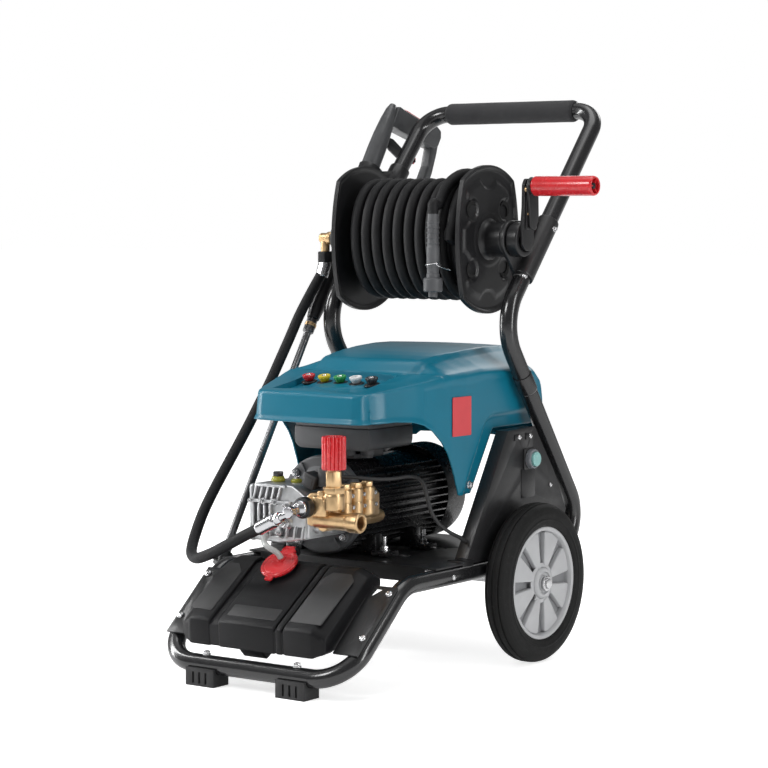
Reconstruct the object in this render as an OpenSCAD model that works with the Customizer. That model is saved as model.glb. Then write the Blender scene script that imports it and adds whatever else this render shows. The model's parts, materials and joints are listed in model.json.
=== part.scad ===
// Electric pressure washer on a two-wheeled tube frame, with a hose reel,
// a triplex plunger pump, a detergent tank and a spray gun on its side.
// Millimetres, +Z up, +X to the machine's right, front towards -Y.
// Every module is drawn with the wheel axle over the origin; stand() then
// moves the machine so that the origin is under the middle of its box.

/* [Frame] */
// Diameter of the bent frame tubes
tube_d = 28; // [24:1:32]
// Wall of the frame tubes
tube_wall = 2; // [1.5:0.5:3]
// Half of the distance between the left and right tubes
tube_x = 172; // [160:1:185]
// Height of the straight rails' centre line
rail_z = 153.5; // [145:0.5:165]
// Height of the front bar's centre line
bar_z = 31; // [28:1:40]
// Distance of the front bar ahead of the axle
bar_y = 446; // [430:1:460]
// Distance of the knee, where the rails start to drop, ahead of the axle
knee_y = 303; // [290:1:315]
// Height of the handle bar's centre line
handle_z = 869; // [820:1:920]

/* [Wheels] */
// Outer radius of the tyre
tyre_r = 125; // [110:1:140]
// Width of the tyre
tyre_w = 40; // [32:1:46]
// Outer face of the wheels, from the middle of the machine
wheel_x = 231; // [229:1:240]
// Radius of the axle
axle_r = 8; // [6:0.5:10]
// Radial running clearance of every turning fit
fit = 0.05; // [0.02:0.01:0.1]

/* [Reel] */
// Height of the reel's axis
reel_z = 660; // [650:1:680]
// Outer radius of the reel flanges
flange_r = 118; // [105:1:125]
// Outer face of the flanges, from the middle
flange_x = 124; // [110:1:130]
// Radius of the wound hose, top and bottom
coil_r = 98; // [90:1:104]
// Half of the wound hose's front-to-back width
coil_w = 74; // [68:1:80]
// Diameter of both hoses
hose_d = 17; // [14:0.5:19]

/* [Motor and pump] */
// Distance of the motor's shaft to the left of the middle
shaft_x = 45; // [40:1:50]
// Height of the motor's shaft
shaft_z = 250; // [246:1:256]
// Radius over the motor's cooling fins
motor_r = 77; // [70:1:79]
// Distance between the pump's cylinders
cylinder_pitch = 28.5; // [26:0.5:30]

/* [Hood] */
// Half of the hood's width
hood_x = 155; // [150:1:157]
// Thickness of the hood's wall
hood_wall = 3; // [2.5:0.5:4]
// Height of the hood's raised top
hood_z = 493; // [485:1:505]

/* [Spray gun] */
// Distance of the gun's axis to the left of the middle
gun_x = 208; // [207:1:214]
// Slope of the lance from the horizontal, in degrees
gun_slope = 57.6; // [55:0.1:60]

/* [Hidden] */
$fn = 48;

// The origin of the finished model, measured from the axle's place on the ground
middle_x = 40;
middle_y = -64.5;
module stand() { translate([-middle_x, -middle_y, 0]) children(); }

black = [0.09, 0.09, 0.10];
dark = [0.17, 0.17, 0.18];
teal = [0.07, 0.37, 0.48];
brass = [0.80, 0.62, 0.36];
steel = [0.75, 0.76, 0.78];
red = [0.80, 0.10, 0.12];

// ---- vectors and bent round bars ----
function unit(v) = v / norm(v);
function turning(a, b, c) = acos(unit(b - a) * unit(c - b));
function trim(a, b, c, r) = r * tan(turning(a, b, c) / 2);
function mirror_x(points) = [for (p = points) [-p.x, p.y, p.z]];
function reversed(list) = [for (i = [len(list) - 1:-1:0]) list[i]];

// A straight round bar between two points, or a tube where it has a bore
module bar(a, b, d, bore = 0) {
    v = b - a;
    translate(a) rotate([0, acos(v.z / norm(v)), atan2(v.y, v.x)]) difference() {
        cylinder(d = d, h = norm(v));
        if (bore > 0) translate([0, 0, -1]) cylinder(d = bore, h = norm(v) + 2);
    }
}

// The arc of radius r that rounds the corner at b
module bend(a, b, c, r, d, bore) {
    along = unit(b - a);
    inward = unit(unit(c - b) - (unit(c - b) * along) * along);
    across = cross(along, inward);
    centre = b - along * trim(a, b, c, r) + inward * r;
    multmatrix([[-inward.x, along.x, across.x, centre.x], [-inward.y, along.y, across.y, centre.y],
                [-inward.z, along.z, across.z, centre.z], [0, 0, 0, 1]])
        rotate_extrude(angle = turning(a, b, c)) translate([r, 0]) difference() {
            circle(d = d);
            if (bore > 0) circle(d = bore);
        }
}

// A bar or tube along a list of corners, each rounded by its radius. Its straight and
// curved lengths are closed solids that stand a hundredth of a millimetre apart.
seam = 0.01;
module bent_bar(points, radii, d, bore = 0) {
    last = len(points) - 1;
    for (i = [0:last - 1]) {
        u = unit(points[i + 1] - points[i]);
        from = i == 0 ? 0 : seam + trim(points[i - 1], points[i], points[i + 1], radii[i]);
        to = i == last - 1 ? 0 : seam + trim(points[i], points[i + 1], points[i + 2], radii[i + 1]);
        bar(points[i] + u * from, points[i + 1] - u * to, d, bore);
    }
    for (i = [1:last - 1]) bend(points[i - 1], points[i], points[i + 1], radii[i], d, bore);
}

// A plate in the YZ plane, from x to x + thick
module side_sheet(x, thick) {
    translate([x, 0, 0]) rotate([90, 0, 90]) linear_extrude(thick) children();
}

// Draws its children and their mirror image on the other side of the machine
module both_sides() {
    children();
    mirror([1, 0, 0]) children();
}

// ---- frame ----
// How far the handle's tubes plug into the rear tubes
plug = 28;
tube_r = tube_d / 2;
weld_y = 40;
joint = [tube_x, 19, 448];
rear_corner = [tube_x, 230.7, rail_z];
shoulder = [tube_x, -41, 531];
handle_y = 254;
handle_corner = [tube_x, handle_y, handle_z];
rail_drop = unit([0, -(bar_y - knee_y), bar_z - rail_z]);
// Upward normal of the dropping part of the rails
rail_up = [0, rail_drop.z, -rail_drop.y];
front_points = [[tube_x, weld_y, rail_z], [tube_x, -knee_y, rail_z], [tube_x, -bar_y, bar_z],
    [-tube_x, -bar_y, bar_z], [-tube_x, -knee_y, rail_z], [-tube_x, weld_y, rail_z]];

// Where a tank screw goes through a rail, a distance down from the knee
function rail_point(s) = [tube_x, -knee_y, rail_z] + s * rail_drop;
tank_screw_s = [32, 118];
foot_x = 85;

// A lug stands just under its rail, where the weld joins them
lug_top = rail_z - tube_r - 0.05;
module axle_lug() {
    difference() {
        side_sheet(tube_x - 3, 6) polygon([[-26, lug_top], [26, lug_top],
            [14, tyre_r - 15], [-14, tyre_r - 15]]);
        translate([0, 0, tyre_r]) rotate([0, 90, 0]) cylinder(r = axle_r + fit, h = 2 * tube_x);
    }
}

// The plate that lies on a rail's slope and carries the side of the tank
plate_low = 150;
module tank_plate() {
    thick = 3;
    length = 132;
    origin = rail_point(plate_low) + rail_up * (tube_r + 0.05);
    slope = atan2(-rail_drop.z, -rail_drop.y);
    translate([0, origin.y, origin.z]) rotate([slope, 0, 0]) difference() {
        translate([tube_x - 36, 0, 0]) cube([44, length, thick]);
        translate([tube_x - 19, length - 14, -1]) linear_extrude(thick + 2)
            polygon([[-11, 9], [-11, -9], [5, 9]]);
        for (s = tank_screw_s) translate([tube_x, plate_low - s, -1])
            cylinder(r = 3.3, h = thick + 2);
    }
}

tube_bore = tube_d - 2 * tube_wall;
module front_frame() {
    color(black) bent_bar(front_points, [0, 70, 60, 60, 70, 0], tube_d, tube_bore);
}

module frame_brackets() {
    color(black) both_sides() {
        axle_lug();
        tank_plate();
    }
}

module rear_tubes() {
    start = [tube_x, weld_y, rail_z];
    u = unit(joint - rear_corner);
    socket = 34;
    color(black) both_sides() {
        bent_bar([start, rear_corner, joint - socket * u], [0, 60, 0], tube_d, tube_bore);
        bar(joint - (socket - seam) * u, joint - (plug + 2 * seam) * u, tube_d + 3, tube_bore);
        bar(joint - (plug + seam) * u, joint, tube_d + 3, tube_d + 0.1);
    }
}

module handle_tube() {
    u = unit(joint - rear_corner);
    right = [joint - plug * u, shoulder, handle_corner];
    color(black) bent_bar(concat(right, reversed(mirror_x(right))), [0, 75, 45, 45, 75, 0],
        tube_d, tube_bore);
}

grip_r = 18.5;
grip_x = 125.5;
module handle_grip() {
    color(dark) translate([-grip_x, handle_y, handle_z]) rotate([0, 90, 0]) difference() {
        union() {
            translate([0, 0, 1.5]) cylinder(r = grip_r, h = 2 * grip_x - 3);
            cylinder(r1 = grip_r - 1.5, r2 = grip_r, h = 1.5);
            translate([0, 0, 2 * grip_x - 1.5]) cylinder(r1 = grip_r, r2 = grip_r - 1.5, h = 1.5);
        }
        translate([0, 0, -1]) cylinder(r = tube_r + 0.05, h = 2 * grip_x + 2);
    }
}

// A hexagon-head bolt with a washer; its head's underside is on the XY plane
module hex_bolt(shank_r, length) {
    translate([0, 0, -length]) cylinder(r = shank_r, h = length);
    cylinder(r = shank_r * 2.1, h = 1.2);
    translate([0, 0, 1.2]) cylinder(r = shank_r * 1.75, h = shank_r * 1.3, $fn = 6);
}

// A round-headed screw; its head's underside is on the XY plane
module screw(shank_r, length) {
    translate([0, 0, -length]) cylinder(r = shank_r, h = length);
    difference() {
        cylinder(r1 = shank_r * 2.2, r2 = shank_r * 1.6, h = shank_r * 1.1);
        translate([-shank_r * 3, -0.5, shank_r * 0.5]) cube([shank_r * 6, 1, shank_r]);
    }
}

motor_foot_x = 83;
motor_foot_y = [-164, -60];
plate_top = rail_z + tube_r + 3.05;
module frame_bolts() {
    slope = atan2(rail_up.y, rail_up.z);
    color(steel) {
        both_sides() translate([foot_x, -bar_y, bar_z + tube_r + 0.2]) hex_bolt(3.2, 34);
        both_sides() for (s = tank_screw_s) {
            top = rail_point(s) + rail_up * (tube_r + 3.1);
            translate(top) rotate([-slope, 0, 0]) hex_bolt(3.2, 38);
        }
        for (side = [-1, 1]) for (y = motor_foot_y)
            translate([-shaft_x + side * motor_foot_x, y, plate_top + 9]) hex_bolt(4, 16);
        both_sides() translate([hood_x + 0.2, -104, 284]) rotate([0, 90, 0]) screw(2.5, 14);
        for (at = screw_at) translate([side_face + 0.2, at.x, at.y]) rotate([0, 90, 0])
            screw(2, 9);
    }
}

foot_w = 53;
foot_front = 18;
module front_feet() {
    wrap_r = tube_r + 0.2;
    color(black) both_sides() difference() {
        translate([foot_x - foot_w / 2, -bar_y - foot_front, 0]) cube([foot_w, 2 * foot_front, 27]);
        translate([0, -bar_y, bar_z]) rotate([0, 90, 0]) cylinder(r = wrap_r, h = 300);
        for (k = [-1:1]) translate([foot_x + 12 * k - 2, -bar_y - foot_front - 1, 4])
            cube([4, 4, 17]);
        translate([foot_x, -bar_y, 4]) cylinder(r = 3.3, h = 30);
    }
}

plate_front = -228;
plate_back = 104;
module base_plate() {
    thick = 3;
    half = tube_x + 8;
    lip = 24;
    color(black) difference() {
        union() {
            translate([-half, plate_front, plate_top - thick])
                cube([2 * half, plate_back - plate_front, thick]);
            translate([-tube_x + tube_r + 1, plate_front, plate_top - lip])
                cube([2 * (tube_x - tube_r - 1), thick, lip]);
        }
        for (side = [-1, 1]) for (y = motor_foot_y)
            translate([-shaft_x + side * motor_foot_x, y, 0]) cylinder(r = 4.2, h = 200);
        for (y = [-140, -40]) translate([60, y, plate_top - 10]) cylinder(r = 9, h = 20);
    }
}

// ---- side plates ----
side_face = 180;
side_thick = 2.5;
side_depth = 22;
side_outline = [[-149, plate_top], [-32, 363], [45, 365], [101, 293], [127, 249], [140, 225],
    [112, plate_top]];
button_at = [29, 315];
screw_at = [[-2, 351], [30, 351]];

// A flange turned inwards along the outline's edge from a to b
module turned_edge(a, b) {
    u = unit(b - a);
    n = [u.y, -u.x];
    side_sheet(side_face - side_depth, side_depth) polygon([a, b, b + side_thick * n,
        a + side_thick * n]);
}

module side_plate_blank() {
    difference() {
        union() {
            side_sheet(side_face - side_thick, side_thick) polygon(side_outline);
            turned_edge(side_outline[0], side_outline[1]);
            turned_edge(side_outline[1], side_outline[2]);
            translate([side_face - side_depth, -140, plate_top - 1])
                cube([side_depth, 230, side_thick + 1]);
        }
        translate([0, -200, plate_top - 20]) cube([200, 400, 20]);
    }
}

module side_plate_left() {
    color(black) mirror([1, 0, 0]) side_plate_blank();
}

module side_plate_right() {
    color(black) difference() {
        side_plate_blank();
        translate([side_face - 10, button_at.x, button_at.y]) rotate([0, 90, 0])
            cylinder(r = 11.2, h = 20);
        for (at = screw_at) translate([side_face - 10, at.x, at.y]) rotate([0, 90, 0])
            cylinder(r = 2.1, h = 20);
        translate([side_face - 10, 33, 262]) cube([20, 4, 34]);
    }
}

// ---- axle and wheels ----
module axle() {
    half = wheel_x + 6;
    color(steel) {
        translate([-half, 0, tyre_r]) rotate([0, 90, 0]) cylinder(r = axle_r, h = 2 * half);
        both_sides() translate([wheel_x - tyre_w - 7.5, 0, tyre_r]) rotate([0, 90, 0])
            difference() {
                cylinder(r = 14, h = 6.5);
                translate([0, 0, -1]) cylinder(r = axle_r + fit, h = 9);
            }
        both_sides() translate([wheel_x - 0.5, 0, tyre_r]) rotate([0, 90, 0]) difference() {
            cylinder(r = 12, h = 3);
            translate([0, 0, -1]) cylinder(r = axle_r + fit, h = 5);
        }
    }
}

rim_r = 88.5;
// Half of the tyre's section: shoulders rounded, two grooves on the tread
function shoulder_arc(s) = [for (a = [0:15:90])
    [tyre_r - 16 + 16 * cos(a), s * (tyre_w / 2 - 10 + 10 * sin(a))]];
module tyre() {
    color(black) translate([wheel_x - tyre_w / 2, 0, tyre_r]) rotate([0, 90, 0])
        rotate_extrude($fn = 96) difference() {
            polygon(concat([[rim_r, -tyre_w / 2 + 3]], reversed(shoulder_arc(-1)),
                shoulder_arc(1), [[rim_r, tyre_w / 2 - 3]]));
            for (y = [-7, 7]) translate([tyre_r - 2.5, y - 1]) square([4, 2]);
        }
}

petals = 8;
hub_r = 23;
// The hub, web and rim ring as one turned section: radius, then distance along the axle
rim_section = [[axle_r + fit, 0], [hub_r, 0], [hub_r, 12], [75, 12], [75, 3], [rim_r - 0.3, 3],
    [rim_r - 0.3, 35], [75, 35], [75, 17], [hub_r, 17], [hub_r, 37.5], [19, 37.5], [19, 33],
    [14, 33], [14, 37.5], [axle_r + fit, 37.5]];
module rim() {
    color([0.72, 0.73, 0.75]) translate([wheel_x - tyre_w + 1, 0, tyre_r]) rotate([0, 90, 0]) {
        rotate_extrude($fn = 96) polygon(rim_section);
        for (k = [0:petals - 1]) rotate(k * 360 / petals + 22.5) translate([0, 0, 16])
            linear_extrude(12) polygon([[22, -4.7], [76, -17], [76, 17], [22, 4.7]]);
    }
}
module tyre_left() { mirror([1, 0, 0]) tyre(); }
module tyre_right() { tyre(); }
module rim_left() { mirror([1, 0, 0]) rim(); }
module rim_right() { rim(); }

// ---- motor ----
motor_front = -205;
motor_back = 20;
shaft_r = 10;
// Draws its children with their Z axis along the motor shaft, towards the back
module on_shaft(y) {
    translate([-shaft_x, y, shaft_z]) rotate([-90, 0, 0]) children();
}

fins = 40;
module motor_housing() {
    wall_r = motor_r - 9;
    color(black) {
        on_shaft(motor_front) linear_extrude(motor_back - motor_front) difference() {
            union() {
                circle(r = wall_r);
                for (k = [0:fins - 1]) if (abs(k - 30) > 4) rotate(k * 360 / fins)
                    translate([wall_r - 2, -1.1]) square([motor_r - wall_r + 2, 2.2]);
            }
            circle(r = wall_r - 5);
        }
        for (side = [-1, 1]) for (y = motor_foot_y) difference() {
            translate([-shaft_x + side * motor_foot_x - 16, y - 16, plate_top])
                cube([32, 32, 9]);
            translate([-shaft_x + side * motor_foot_x, y, plate_top - 1])
                cylinder(r = 4.2, h = 12);
        }
        for (side = [-1, 1]) for (y = motor_foot_y)
            translate([-shaft_x + side * 58 - 14, y - 9, plate_top + 3]) cube([28, 18, 32]);
    }
}

module motor_end_bell() {
    color(dark) difference() {
        union() {
            on_shaft(motor_front - 12) cylinder(r = motor_r, h = 11.8);
            on_shaft(motor_front - 23) cylinder(r1 = 46, r2 = 62, h = 11);
        }
        on_shaft(motor_front - 24) cylinder(r = shaft_r + fit, h = 30);
        on_shaft(motor_front - 6) cylinder(r = 52, h = 10);
    }
}

cowl_back = 76;
module fan_cowl() {
    depth = cowl_back - motor_back;
    color(black) difference() {
        on_shaft(motor_back + 0.2) cylinder(r = motor_r, h = depth);
        on_shaft(motor_back - 1) cylinder(r = motor_r - 2, h = depth - 1);
        for (k = [0:11]) on_shaft(cowl_back - 8) rotate(30 * k) translate([22, -4, 0])
            cube([40, 8, 20]);
    }
}

box_front = -190;
module terminal_box() {
    floor_z = shaft_z + motor_r + 7;
    color([0.28, 0.29, 0.31]) difference() {
        union() {
            translate([-shaft_x - 73, box_front, floor_z]) cube([145, 118, 51]);
            translate([-shaft_x - 30, box_front + 20, floor_z - 15.5]) cube([60, 78, 16]);
        }
        translate([-shaft_x - 70, box_front + 3, floor_z + 3]) cube([139, 112, 45]);
    }
}

stator_y = [-165, -25];
module motor_stator() {
    color([0.45, 0.28, 0.18]) on_shaft(stator_y[0]) difference() {
        cylinder(r = motor_r - 14.2, h = stator_y[1] - stator_y[0]);
        translate([0, 0, -1]) cylinder(r = 38, h = stator_y[1] - stator_y[0] + 2);
    }
}

crank_back = -228;
module motor_rotor() {
    color(steel) {
        on_shaft(crank_back - 4) cylinder(r = shaft_r, h = 60 - crank_back + 4);
        on_shaft(stator_y[0]) cylinder(r = 37.4, h = stator_y[1] - stator_y[0]);
        on_shaft(40) cylinder(r = 24, h = 16);
        for (k = [0:6]) on_shaft(41) rotate(13 + k * 360 / 7) translate([20, -1.5, 0])
            cube([44, 3, 14]);
    }
}

// ---- pump ----
case_x = [-94, 26];
case_y = [-330, -228];
crank_y = -279;
cylinder_y = [for (k = [-1:1]) crank_y + k * cylinder_pitch];
case_outline = [[case_x[0] + 5, 205], [case_x[1], 212], [case_x[1], 280], [-20, 293],
    [-78, 293], [case_x[0] + 5, 284]];
case_room = [[case_x[0] + 4, 212], [case_x[1] - 9, 219], [case_x[1] - 9, 274], [-22, 286],
    [-76, 286], [case_x[0] + 4, 278]];

oil_at = [-64, -300];
module pump_crankcase() {
    color([0.78, 0.79, 0.81]) difference() {
        union() {
            translate([0, case_y[1], 0]) rotate([90, 0, 0])
                linear_extrude(case_y[1] - case_y[0]) polygon(case_outline);
            for (k = [0:6]) translate([-84 + k * 11, case_y[0] - 6, 216]) cube([4, 7, 50]);
            for (k = [0:4]) translate([-72 + k * 12, case_y[0] - 1, 291]) cube([4, 60, 6]);
        }
        translate([0, case_y[1] - 8, 0]) rotate([90, 0, 0])
            linear_extrude(case_y[1] - case_y[0] - 16) polygon(case_room);
        on_shaft(case_y[1] - 9) cylinder(r = shaft_r + fit, h = 12);
        for (y = cylinder_y) translate([case_x[1] - 12, y, shaft_z]) rotate([0, 90, 0])
            cylinder(r = 8.05, h = 20);
        translate([oil_at.x, oil_at.y, 284]) cylinder(r = 6, h = 20);
        translate([oil_at.x, oil_at.y, 293.1]) cylinder(r = 12, h = 10);
    }
}

module pump_rear_cover() {
    color([0.78, 0.79, 0.81]) {
        translate([case_x[0], case_y[0] - 3, 203]) cube([4.8, 100, 88]);
        for (y = [case_y[0] + 6, case_y[1] - 20]) for (z = [210, 283])
            translate([case_x[0] - 2, y, z]) rotate([0, 90, 0]) cylinder(r = 4, h = 3);
    }
}

throw = 5;
module pump_crankshaft() {
    color(steel) {
        on_shaft(case_y[0] + 12) cylinder(r = 9, h = crank_back - 4.3 - case_y[0] - 12);
        for (k = [0:2]) on_shaft(cylinder_y[k] - 8) translate([throw * cos(120 * k),
            throw * sin(120 * k), 0]) cylinder(r = 15, h = 16);
    }
}

module pump_plungers() {
    color([0.92, 0.91, 0.86]) for (y = cylinder_y) translate([-22, y, shaft_z])
        rotate([0, 90, 0]) cylinder(r = 8, h = 76);
}

head_x = [26.2, 68];
head_y = [-346, -218];
head_z = [236, 286];
valve_x = 68;
gallery = [54, 240];
inlet_y = -338;
inlet_z = 246;
inlet_end = 122;
inlet_r = 8.5;
module pump_head() {
    color(brass) difference() {
        union() {
            translate([head_x[0], head_y[0], head_z[0]]) cube([head_x[1] - head_x[0],
                head_y[1] - head_y[0], head_z[1] - head_z[0]]);
            for (y = cylinder_y) translate([valve_x, y, 248]) {
                cylinder(r = 11, h = 42);
                translate([0, 0, 42]) cylinder(r = 10, h = 8, $fn = 6);
            }
            translate([gallery.x, head_y[0] + 2, gallery.y]) rotate([-90, 0, 0])
                cylinder(r = 11, h = 146);
            translate([40, inlet_y, inlet_z]) rotate([0, 90, 0]) {
                cylinder(r = 13, h = inlet_end - 40 - 22);
                translate([0, 0, inlet_end - 40 - 22]) cylinder(r = 15, h = 22);
            }
        }
        for (y = cylinder_y) translate([head_x[0] - 1, y, shaft_z]) rotate([0, 90, 0])
            cylinder(r = 8.05, h = 32);
        translate([60, inlet_y, inlet_z]) rotate([0, 90, 0]) cylinder(r = inlet_r, h = 70);
        translate([unloader_at.x, unloader_at.y, 261.8]) cylinder(r = 16.2, h = 40);
        outlet_block(0.2);
    }
}

bolt_y = [for (k = [-1.5:1.5]) crank_y + k * cylinder_pitch];
module head_bolts() {
    color(steel) for (y = bolt_y) for (z = [262, 279]) translate([head_x[1] + 0.2, y, z])
        rotate([0, 90, 0]) difference() {
            cylinder(r = 3.1, h = 7);
            translate([0, 0, 4]) cylinder(r = 1.7, h = 4, $fn = 6);
        }
}

module oil_cap() {
    color([0.78, 0.76, 0.10]) {
        translate([oil_at.x, oil_at.y, 286]) cylinder(r = 5.9, h = 10);
        translate([oil_at.x, oil_at.y, 293.2]) cylinder(r = 11, h = 7);
        translate([oil_at.x, oil_at.y, 300]) cylinder(r = 8, h = 8, $fn = 6);
    }
}

unloader_at = [74, -342];
outlet_x = 36;
outlet_z = 266;
knob_z = [323, 373];
// The unloader's outlet block, grown all round by a gap
module outlet_block(gap) {
    translate([outlet_x - 12 - gap, -357 - gap, outlet_z - 13 - gap])
        cube([46 + 2 * gap, 10.8 + gap, 26 + 2 * gap]);
}

module unloader_body() {
    color(brass) {
        translate([unloader_at.x, unloader_at.y, 262]) cylinder(r = 16, h = 34);
        translate([unloader_at.x, unloader_at.y, 296]) cylinder(r = 12, h = knob_z[0] - 298);
        translate([unloader_at.x, unloader_at.y, knob_z[0] - 2.5]) cylinder(r = 7, h = 42);
        outlet_block(0);
        translate([outlet_x, -366, outlet_z]) rotate([-90, 0, 0]) cylinder(r = 11, h = 9.2);
    }
}

module unloader_knob() {
    ribs = 16;
    color(red) translate([unloader_at.x, unloader_at.y, knob_z[0]]) difference() {
        linear_extrude(knob_z[1] - knob_z[0]) union() {
            circle(r = 16.5);
            for (k = [0:ribs - 1]) rotate(k * 360 / ribs) translate([16.3, 0]) circle(r = 2.2, $fn = 24);
        }
        translate([0, 0, -1]) cylinder(r = 7 + fit, h = 42);
    }
}

module outlet_collar() {
    color(black) translate([outlet_x, -374, outlet_z]) rotate([-90, 0, 0]) difference() {
        cylinder(r = 16, h = 16.8);
        translate([0, 0, -1]) cylinder(r = 8, h = 9.8);
        translate([0, 0, 8]) cylinder(r = 11.05, h = 12);
    }
}

hose_start = [-21, -402, 234];
module outlet_elbow() {
    neck = [outlet_x, -367, outlet_z];
    corner = [outlet_x, -402, 262];
    ferrule = corner + 28 * unit(hose_start - corner);
    color([0.85, 0.86, 0.88]) {
        bent_bar([neck, corner, ferrule], [0, 14, 0], 13);
        bar(ferrule, hose_start, 22);
    }
}

module pressure_switch() {
    color([0.2, 0.2, 0.22]) {
        translate([-8, -318, 293]) rotate([0, 20, 0]) cube([24, 26, 22]);
        translate([20, -312, 290]) cube([22, 40, 30]);
    }
}

// ---- hood ----
hood_front = -317;
hood_back = 140;
// Upper outline of the hood seen from the side, lowered all round by t
function hood_top(t) = [[hood_front + t, 300], [hood_front + 2 + t, 433 - t],
    [-196 + t / 2, 456 - t], [-172 + t, 475 - t], [-110, 485 - t], [0, hood_z - t], [70, hood_z - t],
    [104 - t, 482 - t], [120 - t, 440], [136 - t, 363], [hood_back - t, 300]];
// Right half of the hood's plan, from the middle of its front round to its back
plan_side = [[30, hood_front + 0.5], [70, hood_front + 3], [90, hood_front + 9],
    [101, hood_front + 19], [110, hood_front + 33], [122, -256], [134, -222], [145, -185],
    [152, -148], [hood_x, -110], [hood_x, hood_back]];
// An outline's points moved inwards by t
function inset(p, t) = [for (i = [0:len(p) - 1])
    let (u = unit(p[min(i + 1, len(p) - 1)] - p[max(i - 1, 0)])) p[i] + t * [-u.y, u.x]];
// Section across the hood, lowered all round by t
function hood_side(t) = [[hood_x - t, 200], [hood_x - t, 454 - t], [hood_x - 6 - t, 461 - t],
    [116 - t, 486 - t], [100 - t, hood_z - t]];
module hood_block(t) {
    side = hood_side(t);
    plan = inset(plan_side, t);
    intersection() {
        side_sheet(-hood_x - 1, 2 * hood_x + 2)
            polygon(concat(hood_top(t), [[hood_back - t, 200], [hood_front + t, 200]]));
        translate([0, hood_back + 1, 0]) rotate([90, 0, 0]) linear_extrude(500)
            polygon(concat(side, reversed([for (p = side) [-p.x, p.y]])));
        translate([0, 0, 150]) linear_extrude(400)
            polygon(concat(plan, reversed([for (p = plan) [-p.x, p.y]])));
    }
}

// What is cut away below the hood's edge, seen from the side
hood_below = [[-330, 389], [-250, 392], [-215, 386], [-186, 374], [-164, 354], [-146, 325],
    [-132, 288], [-126, 269], [-86, 269], [-26, 366], [100, 366], [136, 345], [200, 345],
    [200, 100], [-330, 100]];
tray_x = 80;
nozzle_pitch = 30;
nozzle_y = -226;
tray_slope = atan2(456 - 433, -196 - hood_front - 2);
tray_depth = 10;
// The middle of the nozzle row on the tray's floor
tray_at = [0, nozzle_y, 433 + (nozzle_y - hood_front - 2) * tan(tray_slope) - tray_depth];
module tray_space(t) {
    translate(tray_at) rotate([tray_slope, 0, 0]) translate([-tray_x + t, -71 + t, 0])
        cube([2 * (tray_x - t), 102 - 2 * t, 60]);
}

module hood() {
    color(teal) difference() {
        union() {
            difference() {
                hood_block(0);
                hood_block(hood_wall);
            }
            intersection() {
                hood_block(0);
                translate([0, 0, -hood_wall]) tray_space(-hood_wall);
            }
        }
        tray_space(0);
        side_sheet(-300, 600) polygon(hood_below);
        for (k = [-2:2]) translate(tray_at) rotate([tray_slope, 0, 0])
            translate([nozzle_pitch * k, 0, -10]) cylinder(r = 9.2, h = 20);
        both_sides() translate([hood_x - 10, -104, 284]) rotate([0, 90, 0])
            cylinder(r = 2.6, h = 20);
    }
}

module at_nozzle(k) {
    translate(tray_at) rotate([tray_slope, 0, 0]) translate([nozzle_pitch * k, 0, 0]) children();
}

tip_r = 5.5;
module nozzle_seats() {
    color(black) for (k = [-2:2]) at_nozzle(k) difference() {
        union() {
            translate([0, 0, -15]) cylinder(r = 9, h = 18);
            cylinder(r = 13, h = 3);
        }
        translate([0, 0, -12]) cylinder(r = tip_r + 0.1, h = 20);
    }
}

module nozzle(k, tint) {
    color(tint) at_nozzle(k) difference() {
        union() {
            translate([0, 0, -11]) cylinder(r = tip_r, h = 15);
            translate([0, 0, 3.3]) cylinder(r = 9.5, h = 7);
            translate([0, 0, 10.3]) cylinder(r1 = 9.5, r2 = 6.5, h = 3);
        }
        translate([0, 0, -12]) cylinder(r = 1.2, h = 30);
    }
}
module nozzle_red() { nozzle(-2, red); }
module nozzle_yellow() { nozzle(-1, [0.95, 0.80, 0.10]); }
module nozzle_green() { nozzle(0, [0.10, 0.55, 0.22]); }
module nozzle_white() { nozzle(1, [0.90, 0.90, 0.90]); }
module nozzle_black() { nozzle(2, black); }

// ---- detergent tank ----
tank_x = 134;
tank_slope = 34;
tank_front = -452;
tank_low = 60;
// Outline of the tank seen from the side
tank_outline = [[tank_front + 2, tank_low], [tank_front, 98], [tank_front + 6, 104],
    [-340, 176], [-326, 179], [-306, 171], [-306, 160], [-352, 124], [-420, tank_low + 2]];
cap_at = [-20, -352, 173];
neck_r = 22;
// The cap's hinge pin, across the top of the cap: its place in the cap's own axes
hinge_at = [35, 4];
hinge_r = 2;
// Draws its children with +Z along the tank cap's axis
module on_cap() {
    translate(cap_at) rotate([tank_slope, 0, 0]) children();
}

module detergent_tank() {
    room = [[tank_front + 5, tank_low + 4], [tank_front + 3.5, 97], [tank_front + 8, 100.5],
        [-339, 171.5], [-327, 174.5], [-312, 168], [-355, 129], [-421, tank_low + 6]];
    color(black) difference() {
        union() {
            side_sheet(-tank_x, 2 * tank_x) polygon(tank_outline);
            side_sheet(-22, 44) polygon([[tank_front + 3, tank_low + 1], [-436, tank_low - 12],
                [-400, tank_low + 8], [-418, tank_low + 6]]);
            on_cap() translate([0, 0, -16]) cylinder(r = neck_r + 3, h = 15.5);
            for (side = [-1, 1]) on_cap() translate([side * 12 - 2, hinge_at.x - 4, -6])
                cube([4, 8, hinge_at.y + 10]);
        }
        side_sheet(-tank_x + 4, 2 * tank_x - 8) polygon(room);
        on_cap() translate([0, 0, -30]) cylinder(r = neck_r, h = 40);
        for (x = [-74, 48]) translate([x, -352, 160]) rotate([tank_slope, 0, 0])
            translate([0, -130, 3]) cube([13, 200, 20]);
    }
    color(black) on_cap() translate([-13, hinge_at.x, hinge_at.y]) rotate([0, 90, 0])
        cylinder(r = hinge_r, h = 26);
}

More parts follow.
